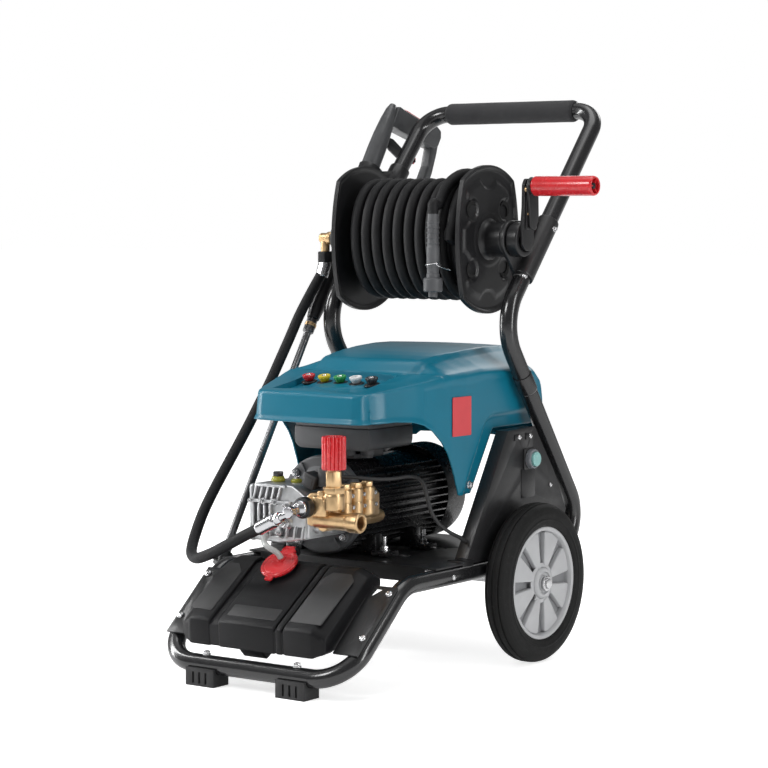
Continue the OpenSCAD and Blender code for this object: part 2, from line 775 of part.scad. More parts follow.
module tank_cap() {
    color(red) on_cap() {
        difference() {
            union() {
                translate([0, 0, 0.3]) cylinder(r = 30, h = 7);
                translate([-6, -36, 0.3]) cube([12, 10, 4]);
                translate([-9, 27, 0.3]) cube([18, hinge_at.x - 27, 7.4]);
                translate([-9, hinge_at.x, hinge_at.y]) rotate([0, 90, 0]) cylinder(r = 3.7, h = 18);
            }
            translate([0, 8, -1]) cylinder(r = 5.2, h = 12);
            translate([-10, hinge_at.x, hinge_at.y]) rotate([0, 90, 0])
                cylinder(r = hinge_r + fit, h = 20);
        }
    }
}

suction_route = [[-58, -337, 214], [-55, -346, 211], [-49, -354, 207], [-41, -359, 203],
    [-32, -361, 199], [-25, -359, 196], [-21, -355, 191], [-20, -350, 184], [-20, -345, 177],
    [-20, -340, 169], [-20, -335, 161]];
module suction_tube() { color([0.62, 0.63, 0.62]) swept_tube(suction_route, 9, 10); }

// ---- hose reel ----
reel_y = -1;
axis_tilt = [0, 90, 0];
journal_r = 20;
bracket_x = [161, 169];
clamp_d = 2 * tube_r + 7;
tube_dir = unit(handle_corner - shoulder);
// The handle tube's point at a height
function tube_at(z) = shoulder + tube_dir * ((z - shoulder.z) / tube_dir.z);

// Outline that is round at the top and bottom and flatter front and back
module oval(r, half_w, side_r) {
    intersection() {
        circle(r = r, $fn = 96);
        translate([side_r - half_w, 0]) circle(r = side_r, $fn = 180);
        translate([half_w - side_r, 0]) circle(r = side_r, $fn = 180);
    }
}

// Draws a YZ outline, centred on the reel's axis, from x to x + thick
module reel_slab(x, thick) {
    translate([0, reel_y, reel_z]) side_sheet(x, thick) children();
}

module reel_brackets() {
    low = tube_at(600);
    high = tube_at(688);
    color(black) both_sides() difference() {
        union() {
            reel_slab(bracket_x[0], bracket_x[1] - bracket_x[0]) {
                circle(r = 30);
                polygon([[-20, -22], [low.y - reel_y - 4, low.z - reel_z - 6],
                    [high.y - reel_y + 4, high.z - reel_z + 2], [4, 30]]);
            }
            bar(low, high, clamp_d);
        }
        bar(low - 20 * tube_dir, high + 20 * tube_dir, tube_d + 0.1);
        translate([0, reel_y, reel_z]) rotate(axis_tilt) cylinder(r = journal_r + fit, h = 200);
    }
}

swivel_x = 200;
module hose_swivel() {
    color(brass) {
        translate([-swivel_x - 10, reel_y, reel_z]) rotate(axis_tilt) cylinder(r = 11, h = 26);
        translate([-184, reel_y, reel_z]) rotate(axis_tilt) cylinder(r = 6, h = 30);
        translate([-swivel_x, reel_y, 638.2]) cylinder(r = 8, h = 22);
    }
    color(black) translate([-swivel_x, reel_y, 620]) cylinder(r = 14, h = 18, $fn = 6);
    color(steel) bar(hose_end, [-swivel_x, reel_y, 621.5], 21);
}

module reel_flanges() {
    thick = 8;
    color(black) both_sides() {
        difference() {
            union() {
                reel_slab(flange_x - thick, thick) oval(flange_r, 86, 319);
                translate([flange_x, reel_y, reel_z]) rotate(axis_tilt)
                    cylinder(r = 27.5, h = bracket_x[0] - flange_x - 0.4);
                translate([flange_x, reel_y, reel_z]) rotate(axis_tilt)
                    cylinder(r = journal_r, h = 170 - flange_x);
            }
            translate([0, reel_y, reel_z]) rotate(axis_tilt) cylinder(r = 12, h = 220);
            for (a = [45:90:315]) reel_slab(flange_x - thick - 1, thick + 2)
                rotate(a) translate([66, 0]) intersection() {
                    circle(r = 13);
                    translate([9, 0]) circle(r = 13);
                }
        }
    }
}

drum_r = 62;
module reel_drum() {
    color(dark) reel_slab(-flange_x + 8.2, 2 * flange_x - 16.4) difference() {
        oval(drum_r, 44, 120);
        oval(drum_r - 3, 41, 117);
    }
}

module reel_hose() {
    color(black) reel_slab(-flange_x + 9, 2 * flange_x - 18) difference() {
        oval(coil_r, coil_w, 150);
        oval(drum_r + 0.3, 44.3, 120.3);
    }
}

fitting_at = [76, -88, 571];
module hose_end_fitting() {
    color([0.25, 0.25, 0.27]) translate(fitting_at) {
        cylinder(r = 7, h = 8);
        translate([0, 0, 8]) cylinder(r = 15, h = 22);
        translate([0, 0, 30]) cylinder(r = 10, h = 50);
        translate([0, 0, 80]) cylinder(r = 8.5, h = 50);
    }
}

crank_z = 743;
arm_x = [190.5, 203];
module crank_arm() {
    color(black) difference() {
        union() {
            translate([170.2, reel_y, reel_z]) rotate(axis_tilt) cylinder(r = 27, h = 20.3);
            reel_slab(arm_x[0], arm_x[1] - arm_x[0]) {
                circle(r = 17);
                polygon([[-17, 0], [-13, crank_z - reel_z], [13, crank_z - reel_z], [17, 0]]);
                translate([0, crank_z - reel_z]) circle(r = 13);
            }
            translate([arm_x[1], reel_y, crank_z]) rotate(axis_tilt) cylinder(r = 5, h = 112);
        }
        translate([182, reel_y, reel_z]) rotate(axis_tilt) cylinder(r = 9, h = 40);
        translate([165, reel_y, reel_z]) rotate(axis_tilt) cylinder(r = 12, h = 12);
    }
}

module crank_grip() {
    color(red) translate([arm_x[1] + 4, reel_y, crank_z]) rotate(axis_tilt) difference() {
        cylinder(r = 15.5, h = 110);
        translate([0, 0, -1]) cylinder(r = 5 + fit, h = 109.5);
    }
}

// ---- supply hose, from the pump's outlet to the reel's swivel ----
hose_end = [-201, -6, 606];
hose_route = [hose_start, [-43, -402, 224], [-65, -402, 213], [-87, -402, 202],
    [-108, -400, 192], [-129, -396, 184], [-149, -389, 178], [-168, -378, 177],
    [-184, -364, 182], [-197, -345, 193], [-207, -323, 211], [-214, -299, 235],
    [-219, -269, 264], [-222, -237, 295], [-224, -204, 328], [-225, -174, 360],
    [-225, -146, 393], [-224, -119, 427], [-223, -94, 462], [-220, -72, 497],
    [-216, -52, 532], [-210, -31, 566], hose_end];

// Unit tangent, and a sideways direction that stays level, at point i
function tangent(p, i) = unit(p[min(i + 1, len(p) - 1)] - p[max(i - 1, 0)]);
function level(t) = unit(cross([0.35, 0.9, 0.2], t));
function ring(c, t, r, n) = [for (k = [0:n - 1])
    c + r * (cos(360 * k / n) * level(t) + sin(360 * k / n) * cross(t, level(t)))];
module swept_tube(points, d, sides) {
    last = len(points) - 1;
    rings = [for (i = [0:last]) each ring(points[i], tangent(points, i), d / 2, sides)];
    walls = [for (i = [0:last - 1]) for (k = [0:sides - 1]) let (n = (k + 1) % sides)
        each [[i * sides + k, (i + 1) * sides + n, i * sides + n],
              [i * sides + k, (i + 1) * sides + k, (i + 1) * sides + n]]];
    start = [[for (k = [0:sides - 1]) k]];
    end = [[for (k = [sides - 1:-1:0]) last * sides + k]];
    polyhedron(rings, concat(start, walls, end));
}

module supply_hose() { color(black) swept_tube(hose_route, hose_d, 12); }

// ---- spray gun and lance ----
// Draws its children with +Z up along the lance and +Y away from the trigger hand
module on_gun() {
    translate([-gun_x, -244, 182]) rotate([gun_slope - 90, 0, 0]) children();
}

// A flat outline in the gun's plane: x across the gun, y along it
module gun_slab(thick) {
    translate([-thick / 2, 0, 0]) rotate([90, 0, 90]) linear_extrude(thick) children();
}

module gun_body() {
    color(dark) on_gun() difference() {
        union() {
            translate([0, 0, 560]) cylinder(r = 14, h = 20);
            translate([0, 0, 580]) cylinder(r1 = 14, r2 = 16, h = 90);
            translate([0, 0, 670]) cylinder(r = 16, h = 90);
            translate([0, 0, 760]) cylinder(r1 = 16, r2 = 10, h = 74);
            gun_slab(26) polygon([[4, 796], [26, 800], [70, 812], [116, 830], [136, 838],
                [132, 868], [112, 866], [66, 848], [20, 836], [2, 834]]);
            gun_slab(18) polygon([[112, 866], [136, 866], [150, 800], [152, 740], [132, 690],
                [90, 660], [10, 640], [10, 656], [84, 674], [118, 700], [134, 744], [134, 796]]);
        }
        translate([0, 0, 550]) cylinder(r = 6, h = 40);
        gun_slab(6) polygon([[2, 700], [60, 700], [60, 782], [2, 782]]);
    }
    color(dark) on_gun() translate([-7, trigger_pin.x, trigger_pin.y]) rotate([0, 90, 0])
        cylinder(r = pin_r, h = 14);
}

trigger_pin = [9, 770];
pin_r = 2;
module gun_trigger() {
    color(black) on_gun() difference() {
        union() {
            gun_slab(5) polygon([[trigger_pin.x, trigger_pin.y - 4.5], [trigger_pin.x,
                trigger_pin.y + 4.5], [30, 784], [62, 784], [100, 794], [108, 786], [100, 776],
                [62, 762], [30, 760]]);
            translate([-2.5, trigger_pin.x, trigger_pin.y]) rotate([0, 90, 0])
                cylinder(r = 4.5, h = 5);
        }
        translate([-5, trigger_pin.x, trigger_pin.y]) rotate([0, 90, 0])
            cylinder(r = pin_r + fit, h = 10);
    }
}

module lance_tube() {
    color(steel) on_gun() {
        cylinder(r = 6, h = 396);
        translate([0, 0, -34]) difference() {
            cylinder(r = 9, h = 34);
            translate([0, 0, -1]) cylinder(r = tip_r + 0.1, h = 14);
        }
        translate([0, 0, 382]) cylinder(r = 9.5, h = 26, $fn = 6);
    }
}

module lance_grip() {
    color(black) on_gun() {
        translate([0, 0, 408.2]) cylinder(r1 = 10, r2 = 12.5, h = 18);
        translate([0, 0, 426]) cylinder(r = 12.5, h = 108);
        translate([0, 0, 534]) cylinder(r = 11, h = 26);
    }
}

cradle_u = 684;
module gun_holder() {
    clip_low = tube_at(748);
    clip_high = tube_at(774);
    low = [-clip_low.x, clip_low.y, clip_low.z];
    high = [-clip_high.x, clip_high.y, clip_high.z];
    color(black) difference() {
        union() {
            bar(low, high, clamp_d);
            on_gun() translate([0, 0, cradle_u]) cylinder(r = 19.6, h = 22);
            on_gun() translate([4, 12, cradle_u]) cube([36, 12, 22]);
        }
        bar(low - 20 * tube_dir, high + 20 * tube_dir, tube_d + 0.1);
        on_gun() translate([0, 0, 560]) cylinder(r = 16.5, h = 240);
        on_gun() translate([-40, -16.5, cradle_u - 30]) cube([40, 33, 90]);
    }
    color(black) difference() {
        union() {
            on_gun() translate([0, 0, -40]) cylinder(r = 13, h = 22);
            translate([-198, -272, 150]) cube([12.4, 30, 12]);
        }
        on_gun() translate([0, 0, -34.2]) cylinder(r = 9.6, h = 400);
        on_gun() translate([-40, -9.6, -34.2]) cube([40, 19.2, 100]);
        translate([-tube_x, -200, rail_z]) rotate([90, 0, 0]) cylinder(r = tube_r + 0.05, h = 200);
    }
}

// ---- switch and cable ----
module switch_base() {
    color([0.35, 0.36, 0.38]) translate([side_face, button_at.x, button_at.y]) {
        rotate([0, 90, 0]) difference() {
            union() {
                translate([0, 0, 2.2]) cylinder(r = 15.5, h = 10);
                translate([0, 0, -22]) cylinder(r = 11, h = 26);
            }
            translate([0, 0, -18]) cylinder(r = 8, h = 40);
            translate([0, 0, 7]) cylinder(r = 12, h = 10);
        }
        translate([0.1, -17, -17]) difference() {
            cube([2, 34, 34]);
            translate([-1, 17, 17]) rotate([0, 90, 0]) cylinder(r = 11.1, h = 10);
        }
    }
}

module start_button() {
    color([0.35, 0.62, 0.60]) translate([side_face, button_at.x, button_at.y])
        rotate([0, 90, 0]) {
            translate([0, 0, -8]) cylinder(r = 8 - 0.1, h = 19);
            translate([0, 0, 10.5]) cylinder(r = 11.8, h = 6);
        }
}

cable_route = [[42, -290, 306], [56, -284, 306], [72, -268, 304], [88, -246, 301],
    [100, -224, 301], [112, -207, 303], [125, -199, 301], [136, -198, 291], [143, -199, 272],
    [150, -198, 251], [158, -189, 232], [164, -169, 218], [167, -149, 209], [168, -131, 200]];
module motor_cable() { color(black) swept_tube(cable_route, 6, 8); }

stand() front_frame();
stand() rear_tubes();
stand() handle_tube();
stand() handle_grip();
stand() frame_brackets();
stand() frame_bolts();
stand() front_feet();
stand() base_plate();
stand() side_plate_left();
stand() side_plate_right();
stand() axle();
stand() tyre_left();
stand() rim_left();
stand() tyre_right();
stand() rim_right();
stand() motor_housing();
stand() motor_end_bell();
stand() fan_cowl();
stand() terminal_box();
stand() motor_stator();
stand() motor_rotor();
stand() pump_crankcase();
stand() pump_rear_cover();
stand() pump_crankshaft();
stand() pump_plungers();
stand() pump_head();
stand() head_bolts();
stand() oil_cap();
stand() unloader_body();
stand() unloader_knob();
stand() outlet_collar();
stand() outlet_elbow();
stand() pressure_switch();
stand() hood();
stand() nozzle_seats();
stand() nozzle_red();
stand() nozzle_yellow();
stand() nozzle_green();
stand() nozzle_white();
stand() nozzle_black();
stand() detergent_tank();
stand() tank_cap();
stand() suction_tube();
stand() reel_brackets();
stand() hose_swivel();
stand() reel_flanges();
stand() reel_drum();
stand() reel_hose();
stand() hose_end_fitting();
stand() crank_arm();
stand() crank_grip();
stand() supply_hose();
stand() gun_body();
stand() gun_trigger();
stand() lance_tube();
stand() lance_grip();
stand() gun_holder();
stand() start_button();
stand() switch_base();
stand() motor_cable();
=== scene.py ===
"""The looks of an electric pressure washer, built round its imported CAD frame.

Shapes are worked out in millimetres in the machine's own axes, with the wheel axle over the
origin, as the CAD source draws them. place() turns such a point into a place in the frame.
"""
import json
import math
import random
import bmesh
import bpy
from mathutils import Matrix, Vector, noise

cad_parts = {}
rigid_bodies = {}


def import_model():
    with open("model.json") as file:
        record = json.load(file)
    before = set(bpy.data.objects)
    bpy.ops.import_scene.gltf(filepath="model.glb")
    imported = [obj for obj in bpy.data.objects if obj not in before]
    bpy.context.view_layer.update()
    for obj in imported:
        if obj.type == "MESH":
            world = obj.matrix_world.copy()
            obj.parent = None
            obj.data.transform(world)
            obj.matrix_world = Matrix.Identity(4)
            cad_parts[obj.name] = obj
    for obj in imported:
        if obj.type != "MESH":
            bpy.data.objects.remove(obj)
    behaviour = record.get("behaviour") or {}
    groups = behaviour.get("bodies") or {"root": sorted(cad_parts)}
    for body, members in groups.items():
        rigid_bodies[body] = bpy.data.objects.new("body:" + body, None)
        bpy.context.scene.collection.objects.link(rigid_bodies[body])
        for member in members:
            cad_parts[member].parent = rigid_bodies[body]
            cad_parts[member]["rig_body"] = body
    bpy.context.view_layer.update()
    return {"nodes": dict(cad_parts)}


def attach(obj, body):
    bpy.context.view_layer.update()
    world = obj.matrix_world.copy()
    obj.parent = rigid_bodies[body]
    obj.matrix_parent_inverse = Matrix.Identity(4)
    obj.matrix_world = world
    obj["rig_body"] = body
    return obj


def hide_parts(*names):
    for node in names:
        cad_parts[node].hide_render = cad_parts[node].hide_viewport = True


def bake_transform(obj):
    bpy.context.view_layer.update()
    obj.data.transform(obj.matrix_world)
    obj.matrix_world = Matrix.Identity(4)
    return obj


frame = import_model()

MIDDLE = Vector((40.0, -64.5, 0.0))
TUBE_R = 14.0
TUBE_X = 172.0
RAIL_Z = 153.5
HOSE_R = 8.5
TYRE_R = 125.0
REEL_Y, REEL_Z = -1.0, 660.0
SHAFT_X, SHAFT_Z = -45.0, 250.0
X, Y, Z = Vector((1, 0, 0)), Vector((0, 1, 0)), Vector((0, 0, 1))
REEL_AT = Vector((0, REEL_Y, REEL_Z))


def place(p):
    """A machine point in millimetres as a place in the frame, in metres."""
    return (Vector(p) - MIDDLE) / 1000


# ---------------------------------------------------------------- camera and lights
CAMERA_AT = (2222.98, -3192.72, 705.94)
CAMERA_AZIMUTH, CAMERA_PITCH = 35.82, -4.10
LENS = 113.69


def make_camera():
    data = bpy.data.cameras.new("camera")
    data.lens, data.sensor_width = LENS, 36
    data.clip_start, data.clip_end = 0.1, 50
    camera = bpy.data.objects.new("camera", data)
    camera.location = place(CAMERA_AT)
    camera.rotation_euler = (math.radians(90 + CAMERA_PITCH), 0, math.radians(CAMERA_AZIMUTH))
    bpy.context.scene.collection.objects.link(camera)
    bpy.context.scene.camera = camera


def area_light(name, at, aim, size, power):
    data = bpy.data.lights.new(name, "AREA")
    data.shape, data.size, data.size_y = "RECTANGLE", size[0], size[1]
    data.energy = power
    light = bpy.data.objects.new(name, data)
    light.location = at
    light.rotation_euler = (Vector(aim) - Vector(at)).to_track_quat("-Z", "Y").to_euler()
    bpy.context.scene.collection.objects.link(light)


def bright_to_see(tree, socket, as_light, as_seen):
    """Gives a strength one value when it is looked at and a lower one when it lights the scene."""
    seen = tree.nodes.new("ShaderNodeLightPath")
    strength = tree.nodes.new("ShaderNodeMapRange")
    strength.inputs["To Min"].default_value = as_light
    strength.inputs["To Max"].default_value = as_seen
    tree.links.new(seen.outputs["Is Camera Ray"], strength.inputs["Value"])
    tree.links.new(strength.outputs["Result"], socket)


def make_studio():
    world = bpy.data.worlds.new("studio")
    world.use_nodes = True
    sky = world.node_tree.nodes["Background"]
    sky.inputs["Color"].default_value = (1, 1, 1, 1)
    bright_to_see(world.node_tree, sky.inputs["Strength"], 0.20, 1.0)
    bpy.context.scene.world = world
    bpy.context.scene.view_settings.view_transform = "Standard"
    aim = (0, 0, 0.42)
    area_light("key", (-1.0, -2.6, 2.3), aim, (0.9, 0.9), 39)
    area_light("right", (2.8, -0.3, 1.3), aim, (0.4, 2.4), 33)
    area_light("left", (-2.4, -0.9, 1.2), aim, (0.35, 2.4), 46)
    area_light("top", (0.1, 0.3, 3.0), aim, (2.0, 1.2), 15)
    area_light("back", (-0.6, 3.0, 2.0), aim, (2.4, 1.0), 20)
    sun = bpy.data.lights.new("overhead", "SUN")
    sun.energy, sun.angle = 0.5, math.radians(70)
    bpy.context.scene.collection.objects.link(bpy.data.objects.new("overhead", sun))
    mesh = bpy.data.meshes.new("floor")
    side = 30
    mesh.from_pydata([(-side, -side, 0), (side, -side, 0), (side, side, 0), (-side, side, 0)], [],
                     [(0, 1, 2, 3)])
    floor = bpy.data.objects.new("floor", mesh)
    bpy.context.scene.collection.objects.link(floor)
    pale = surface("floor", (0.9, 0.9, 0.9), 0.6, mottle=0.01)
    glow = pale.node_tree.nodes["Principled BSDF"]
    glow.inputs["Emission Color"].default_value = (1, 1, 1, 1)
    bright_to_see(pale.node_tree, glow.inputs["Emission Strength"], 0.22, 0.70)
    floor.data.materials.append(pale)


# ---------------------------------------------------------------- materials
def surface(name, colour, roughness, metallic=0.0, coat=0.0, mottle=0.14, mottle_size=0.03,
            grain=0.0, grain_size=0.0008, rough_vary=0.08, sheen=0.0, transmission=0.0,
            weave=0.0, weave_size=0.002, scuffs=0.0, specular=0.5):
    """A procedural finish: cloudy colour, uneven gloss, and a fine grain, in the object's metres."""
    m = bpy.data.materials.new(name)
    m.use_nodes = True
    tree = m.node_tree
    nodes, link = tree.nodes, tree.links.new
    shader = nodes["Principled BSDF"]
    for key, value in (("Metallic", metallic), ("Coat Weight", coat), ("Coat Roughness", 0.12),
                       ("Sheen Weight", sheen), ("Transmission Weight", transmission),
                       ("Specular IOR Level", specular)):
        shader.inputs[key].default_value = value
    where = nodes.new("ShaderNodeTexCoord").outputs["Object"]

    def noise_at(size, detail):
        n = nodes.new("ShaderNodeTexNoise")
        n.inputs["Scale"].default_value = 1 / size
        n.inputs["Detail"].default_value = detail
        link(where, n.inputs["Vector"])
        return n.outputs["Fac"]

    cloud = noise_at(mottle_size, 5)
    ramp = nodes.new("ShaderNodeValToRGB")
    for stop, position, shade in zip(ramp.color_ramp.elements, (0.3, 0.7), (1 - mottle, 1 + mottle)):
        stop.position = position
        stop.color = [min(1, c * shade) for c in colour] + [1]
    link(cloud, ramp.inputs["Fac"])
    tint = ramp.outputs["Color"]
    if scuffs:
        worn = nodes.new("ShaderNodeMix")
        worn.data_type = "RGBA"
        mask = nodes.new("ShaderNodeMapRange")
        mask.inputs["From Min"].default_value = 0.62
        mask.inputs["From Max"].default_value = 0.78
        mask.inputs["To Max"].default_value = scuffs
        link(noise_at(0.006, 8), mask.inputs["Value"])
        link(mask.outputs["Result"], worn.inputs["Factor"])
        link(tint, worn.inputs[6])
        worn.inputs[7].default_value = [min(1, c * 0.5 + 0.25) for c in colour] + [1]
        tint = worn.outputs[2]
    link(tint, shader.inputs["Base Color"])
    gloss = nodes.new("ShaderNodeMapRange")
    gloss.inputs["To Min"].default_value = max(0.02, roughness - rough_vary)
    gloss.inputs["To Max"].default_value = min(1, roughness + rough_vary)
    link(noise_at(mottle_size * 0.35, 6), gloss.inputs["Value"])
    link(gloss.outputs["Result"], shader.inputs["Roughness"])
    if grain or weave:
        bump = nodes.new("ShaderNodeBump")
        bump.inputs["Distance"].default_value = weave_size * 0.25 if weave else grain_size * 0.5
        bump.inputs["Strength"].default_value = min(1, grain + weave)
        if weave:
            wave = nodes.new("ShaderNodeTexVoronoi")
            wave.inputs["Scale"].default_value = 1 / weave_size
            link(where, wave.inputs["Vector"])
            link(wave.outputs["Distance"], bump.inputs["Height"])
        else:
            link(noise_at(grain_size, 3), bump.inputs["Height"])
        link(bump.outputs["Normal"], shader.inputs["Normal"])
    return m


POWDER = surface("powder_black", (0.012, 0.012, 0.013), 0.24, coat=0.5, mottle=0.10, grain=0.10,
                 grain_size=0.0012)
SHEET = surface("sheet_black", (0.014, 0.014, 0.015), 0.40, coat=0.1, grain=0.22,
                grain_size=0.0010, mottle=0.08)
FOAM = surface("foam", (0.026, 0.026, 0.028), 0.92, grain=0.7, grain_size=0.0014, sheen=0.10)
RUBBER = surface("rubber", (0.020, 0.020, 0.021), 0.62, grain=0.35, grain_size=0.0011, mottle=0.2)
HOSE = surface("hose_rubber", (0.007, 0.007, 0.008), 0.62, specular=0.3, weave=0.55, weave_size=0.0022,
               mottle=0.22, mottle_size=0.02)
TYRE = surface("tyre_rubber", (0.006, 0.006, 0.006), 0.62, specular=0.25, grain=0.30, grain_size=0.0016,
               mottle=0.25, scuffs=0.05)
RIM = surface("rim_grey", (0.47, 0.475, 0.485), 0.42, grain=0.10, grain_size=0.0012, mottle=0.05)
# painted shade: a darker copy of the rim grey for the recessed web between the petals
RIM_PAINTED_SHADE = surface("rim_recess_painted_shade", (0.27, 0.275, 0.285), 0.5, grain=0.10, mottle=0.08)
MOTOR = surface("motor_black", (0.012, 0.012, 0.013), 0.28, coat=0.4, grain=0.25,
                grain_size=0.0016)
BOX = surface("box_grey", (0.085, 0.087, 0.092), 0.5, grain=0.25, grain_size=0.0012)
CAST = surface("cast_aluminium", (0.55, 0.56, 0.57), 0.38, metallic=0.85, grain=0.5,
               grain_size=0.0014, mottle=0.16, mottle_size=0.012)
# painted shade: a dark copy of the cast aluminium for the hollows between the pump case's ribs
CAST_PAINTED_SHADE = surface("cast_recess_painted_shade", (0.10, 0.10, 0.105), 0.6, metallic=0.3, grain=0.4)
BRASS = surface("brass", (0.66, 0.45, 0.24), 0.32, metallic=0.9, grain=0.30, grain_size=0.0012,
                mottle=0.14, mottle_size=0.012)
ZINC = surface("zinc", (0.72, 0.72, 0.73), 0.26, metallic=1.0, grain=0.1, mottle=0.1,
               mottle_size=0.005)
LANCE = surface("lance_steel", (0.16, 0.16, 0.165), 0.30, metallic=0.9, grain=0.25, mottle=0.15)
CHROME = surface("chrome", (0.56, 0.56, 0.58), 0.20, metallic=1.0, mottle=0.05, rough_vary=0.05)
RED = surface("red_plastic", (0.62, 0.016, 0.022), 0.26, coat=0.5, mottle=0.10, grain=0.05)
TEAL = surface("teal_plastic", (0.003, 0.150, 0.232), 0.34, coat=0.10, specular=0.36, mottle=0.05,
               mottle_size=0.12, grain=0.06, grain_size=0.0014, rough_vary=0.05)
PLASTIC = surface("black_plastic", (0.008, 0.008, 0.009), 0.38, coat=0.15, specular=0.4, grain=0.28,
                  grain_size=0.0012)
TANK = surface("tank_plastic", (0.006, 0.006, 0.007), 0.42, specular=0.22, grain=0.30,
               grain_size=0.0012, mottle=0.1)
GREY = surface("gun_grey", (0.055, 0.057, 0.060), 0.36, coat=0.2, grain=0.18, grain_size=0.0010)
YELLOW = surface("yellow_plastic", (0.72, 0.56, 0.02), 0.32, coat=0.4, mottle=0.08)
OLIVE = surface("oil_cap_yellow", (0.36, 0.35, 0.03), 0.35, coat=0.3, mottle=0.12)
GREEN = surface("green_plastic", (0.025, 0.30, 0.07), 0.32, coat=0.4, mottle=0.08)
WHITE = surface("white_plastic", (0.82, 0.82, 0.82), 0.35, coat=0.4, mottle=0.03)
NOZZLE_BLACK = surface("nozzle_black", (0.03, 0.03, 0.032), 0.32, coat=0.4, mottle=0.08)
CLEAR = surface("clear_tube", (0.50, 0.51, 0.50), 0.30, transmission=0.12, coat=0.3, mottle=0.06,
                mottle_size=0.008)
BUTTON = surface("button_teal", (0.22, 0.47, 0.45), 0.30, coat=0.5, mottle=0.05)
BEZEL = surface("bezel_grey", (0.19, 0.20, 0.22), 0.42, grain=0.1, mottle=0.06)
LABEL = surface("label_red", (0.62, 0.06, 0.07), 0.45, mottle=0.05)
# painted shade: near-black for the crescent slots in the reel's flanges
SLOT_PAINTED_SHADE = surface("slot_painted_shade", (0.004, 0.004, 0.004), 0.9, mottle=0.2)
PLATE_GREY = surface("label_black", (0.022, 0.022, 0.023), 0.5, mottle=0.06)
COPPER = surface("copper_winding", (0.45, 0.22, 0.10), 0.4, metallic=0.8, grain=0.4)
IRON = surface("ground_steel", (0.50, 0.50, 0.51), 0.35, metallic=1.0, grain=0.2)
CERAMIC = surface("ceramic", (0.80, 0.79, 0.74), 0.15, coat=0.4, mottle=0.04)


# ---------------------------------------------------------------- mesh tools, in millimetres
def finish_mesh(name, bm, material, body, replaces=(), sharp=32, thickness=0.0):
    """Turns a mesh in machine millimetres into a piece that rides on a body."""
    for v in bm.verts:
        v.co = place(v.co)
    return add_piece(name, bm, material, body, replaces, sharp, thickness)


def add_piece(name, bm, material, body, replaces=(), sharp=32, thickness=0.0):
    bmesh.ops.recalc_face_normals(bm, faces=bm.faces)
    limit = math.radians(sharp)
    for f in bm.faces:
        f.smooth = True
    for e in bm.edges:
        e.smooth = e.calc_face_angle(0.0) < limit
    mesh = bpy.data.meshes.new(name)
    bm.to_mesh(mesh)
    bm.free()
    for m in (material if isinstance(material, (list, tuple)) else [material]):
        mesh.materials.append(m)
    piece = bpy.data.objects.new(name, mesh)
    bpy.context.scene.collection.objects.link(piece)
    if thickness:
        shell = piece.modifiers.new("thickness", "SOLIDIFY")
        shell.thickness, shell.offset = thickness / 1000, -1
    if body:
        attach(piece, body)
    if replaces:
        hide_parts(*replaces)
    return piece


def merge(bm, other, matrix=None, index=0):
    """Adds another mesh to bm, moved by a matrix, and frees it."""
    if matrix is not None:
        bmesh.ops.transform(other, matrix=matrix, verts=other.verts)
    made = {}
    for v in other.verts:
        made[v] = bm.verts.new(v.co)
    for f in other.faces:
        try:
            g = bm.faces.new([made[v] for v in f.verts])
        except ValueError:
            continue
        g.material_index = index or f.material_index
    other.free()


def arc_path(points, radii, step=5.0):
    """A line through corners that are rounded by their radii."""
    points = [Vector(p) for p in points]
    line = [points[0]]
    for i in range(1, len(points) - 1):
        a, b, c = points[i - 1], points[i], points[i + 1]
        along, off = (b - a).normalized(), (c - b).normalized()
        angle = along.angle(off)
        inward = (off - off.dot(along) * along).normalized()
        start = b - along * radii[i] * math.tan(angle / 2)
        steps = max(2, round(math.degrees(angle) / step))
        for k in range(steps + 1):
            t = angle * k / steps
            line.append(start + radii[i] * (math.sin(t) * along + (1 - math.cos(t)) * inward))
    line.append(points[-1])
    return line


def smooth_path(points, steps=8):
    """A Catmull-Rom line through points."""
    p = [Vector(q) for q in points]
    p = [2 * p[0] - p[1]] + p + [2 * p[-1] - p[-2]]
    line = []
    for i in range(1, len(p) - 2):
        for k in range(steps):
            t = k / steps
            line.append(0.5 * (2 * p[i] + (p[i + 1] - p[i - 1]) * t
                               + (2 * p[i - 1] - 5 * p[i] + 4 * p[i + 1] - p[i + 2]) * t * t
                               + (3 * p[i] - p[i - 1] - 3 * p[i + 1] + p[i + 2]) * t ** 3))
    line.append(p[-2])
    return line


def sweep(bm, line, radius, sides=28):
    """A round bar along a line."""
    line = [Vector(p) for p in line]
    normal, rings = None, []
    for i, p in enumerate(line):
        t = (line[min(i + 1, len(line) - 1)] - line[max(i - 1, 0)]).normalized()
        if normal is None:
            normal = t.orthogonal().normalized()
        normal = (normal - normal.dot(t) * t).normalized()
        side = t.cross(normal)
        rings.append([bm.verts.new(p + radius * (math.cos(a) * normal + math.sin(a) * side))
                      for a in (2 * math.pi * k / sides for k in range(sides))])
    skin(bm, rings)
    bm.faces.new(rings[0][::-1])
    bm.faces.new(rings[-1])


def skin(bm, rings, closed=True):
    """Quads between rows of vertices."""
    for a, b in zip(rings, rings[1:]):
        n = len(a)
        for k in range(n if closed else n - 1):
            j = (k + 1) % n
            bm.faces.new((a[k], a[j], b[j], b[k]))


def axis_matrix(at, axis):
    """Moves +Z of a shape onto an axis at a point."""
    return Matrix.Translation(Vector(at)) @ Vector(axis).to_track_quat("Z", "Y").to_matrix().to_4x4()


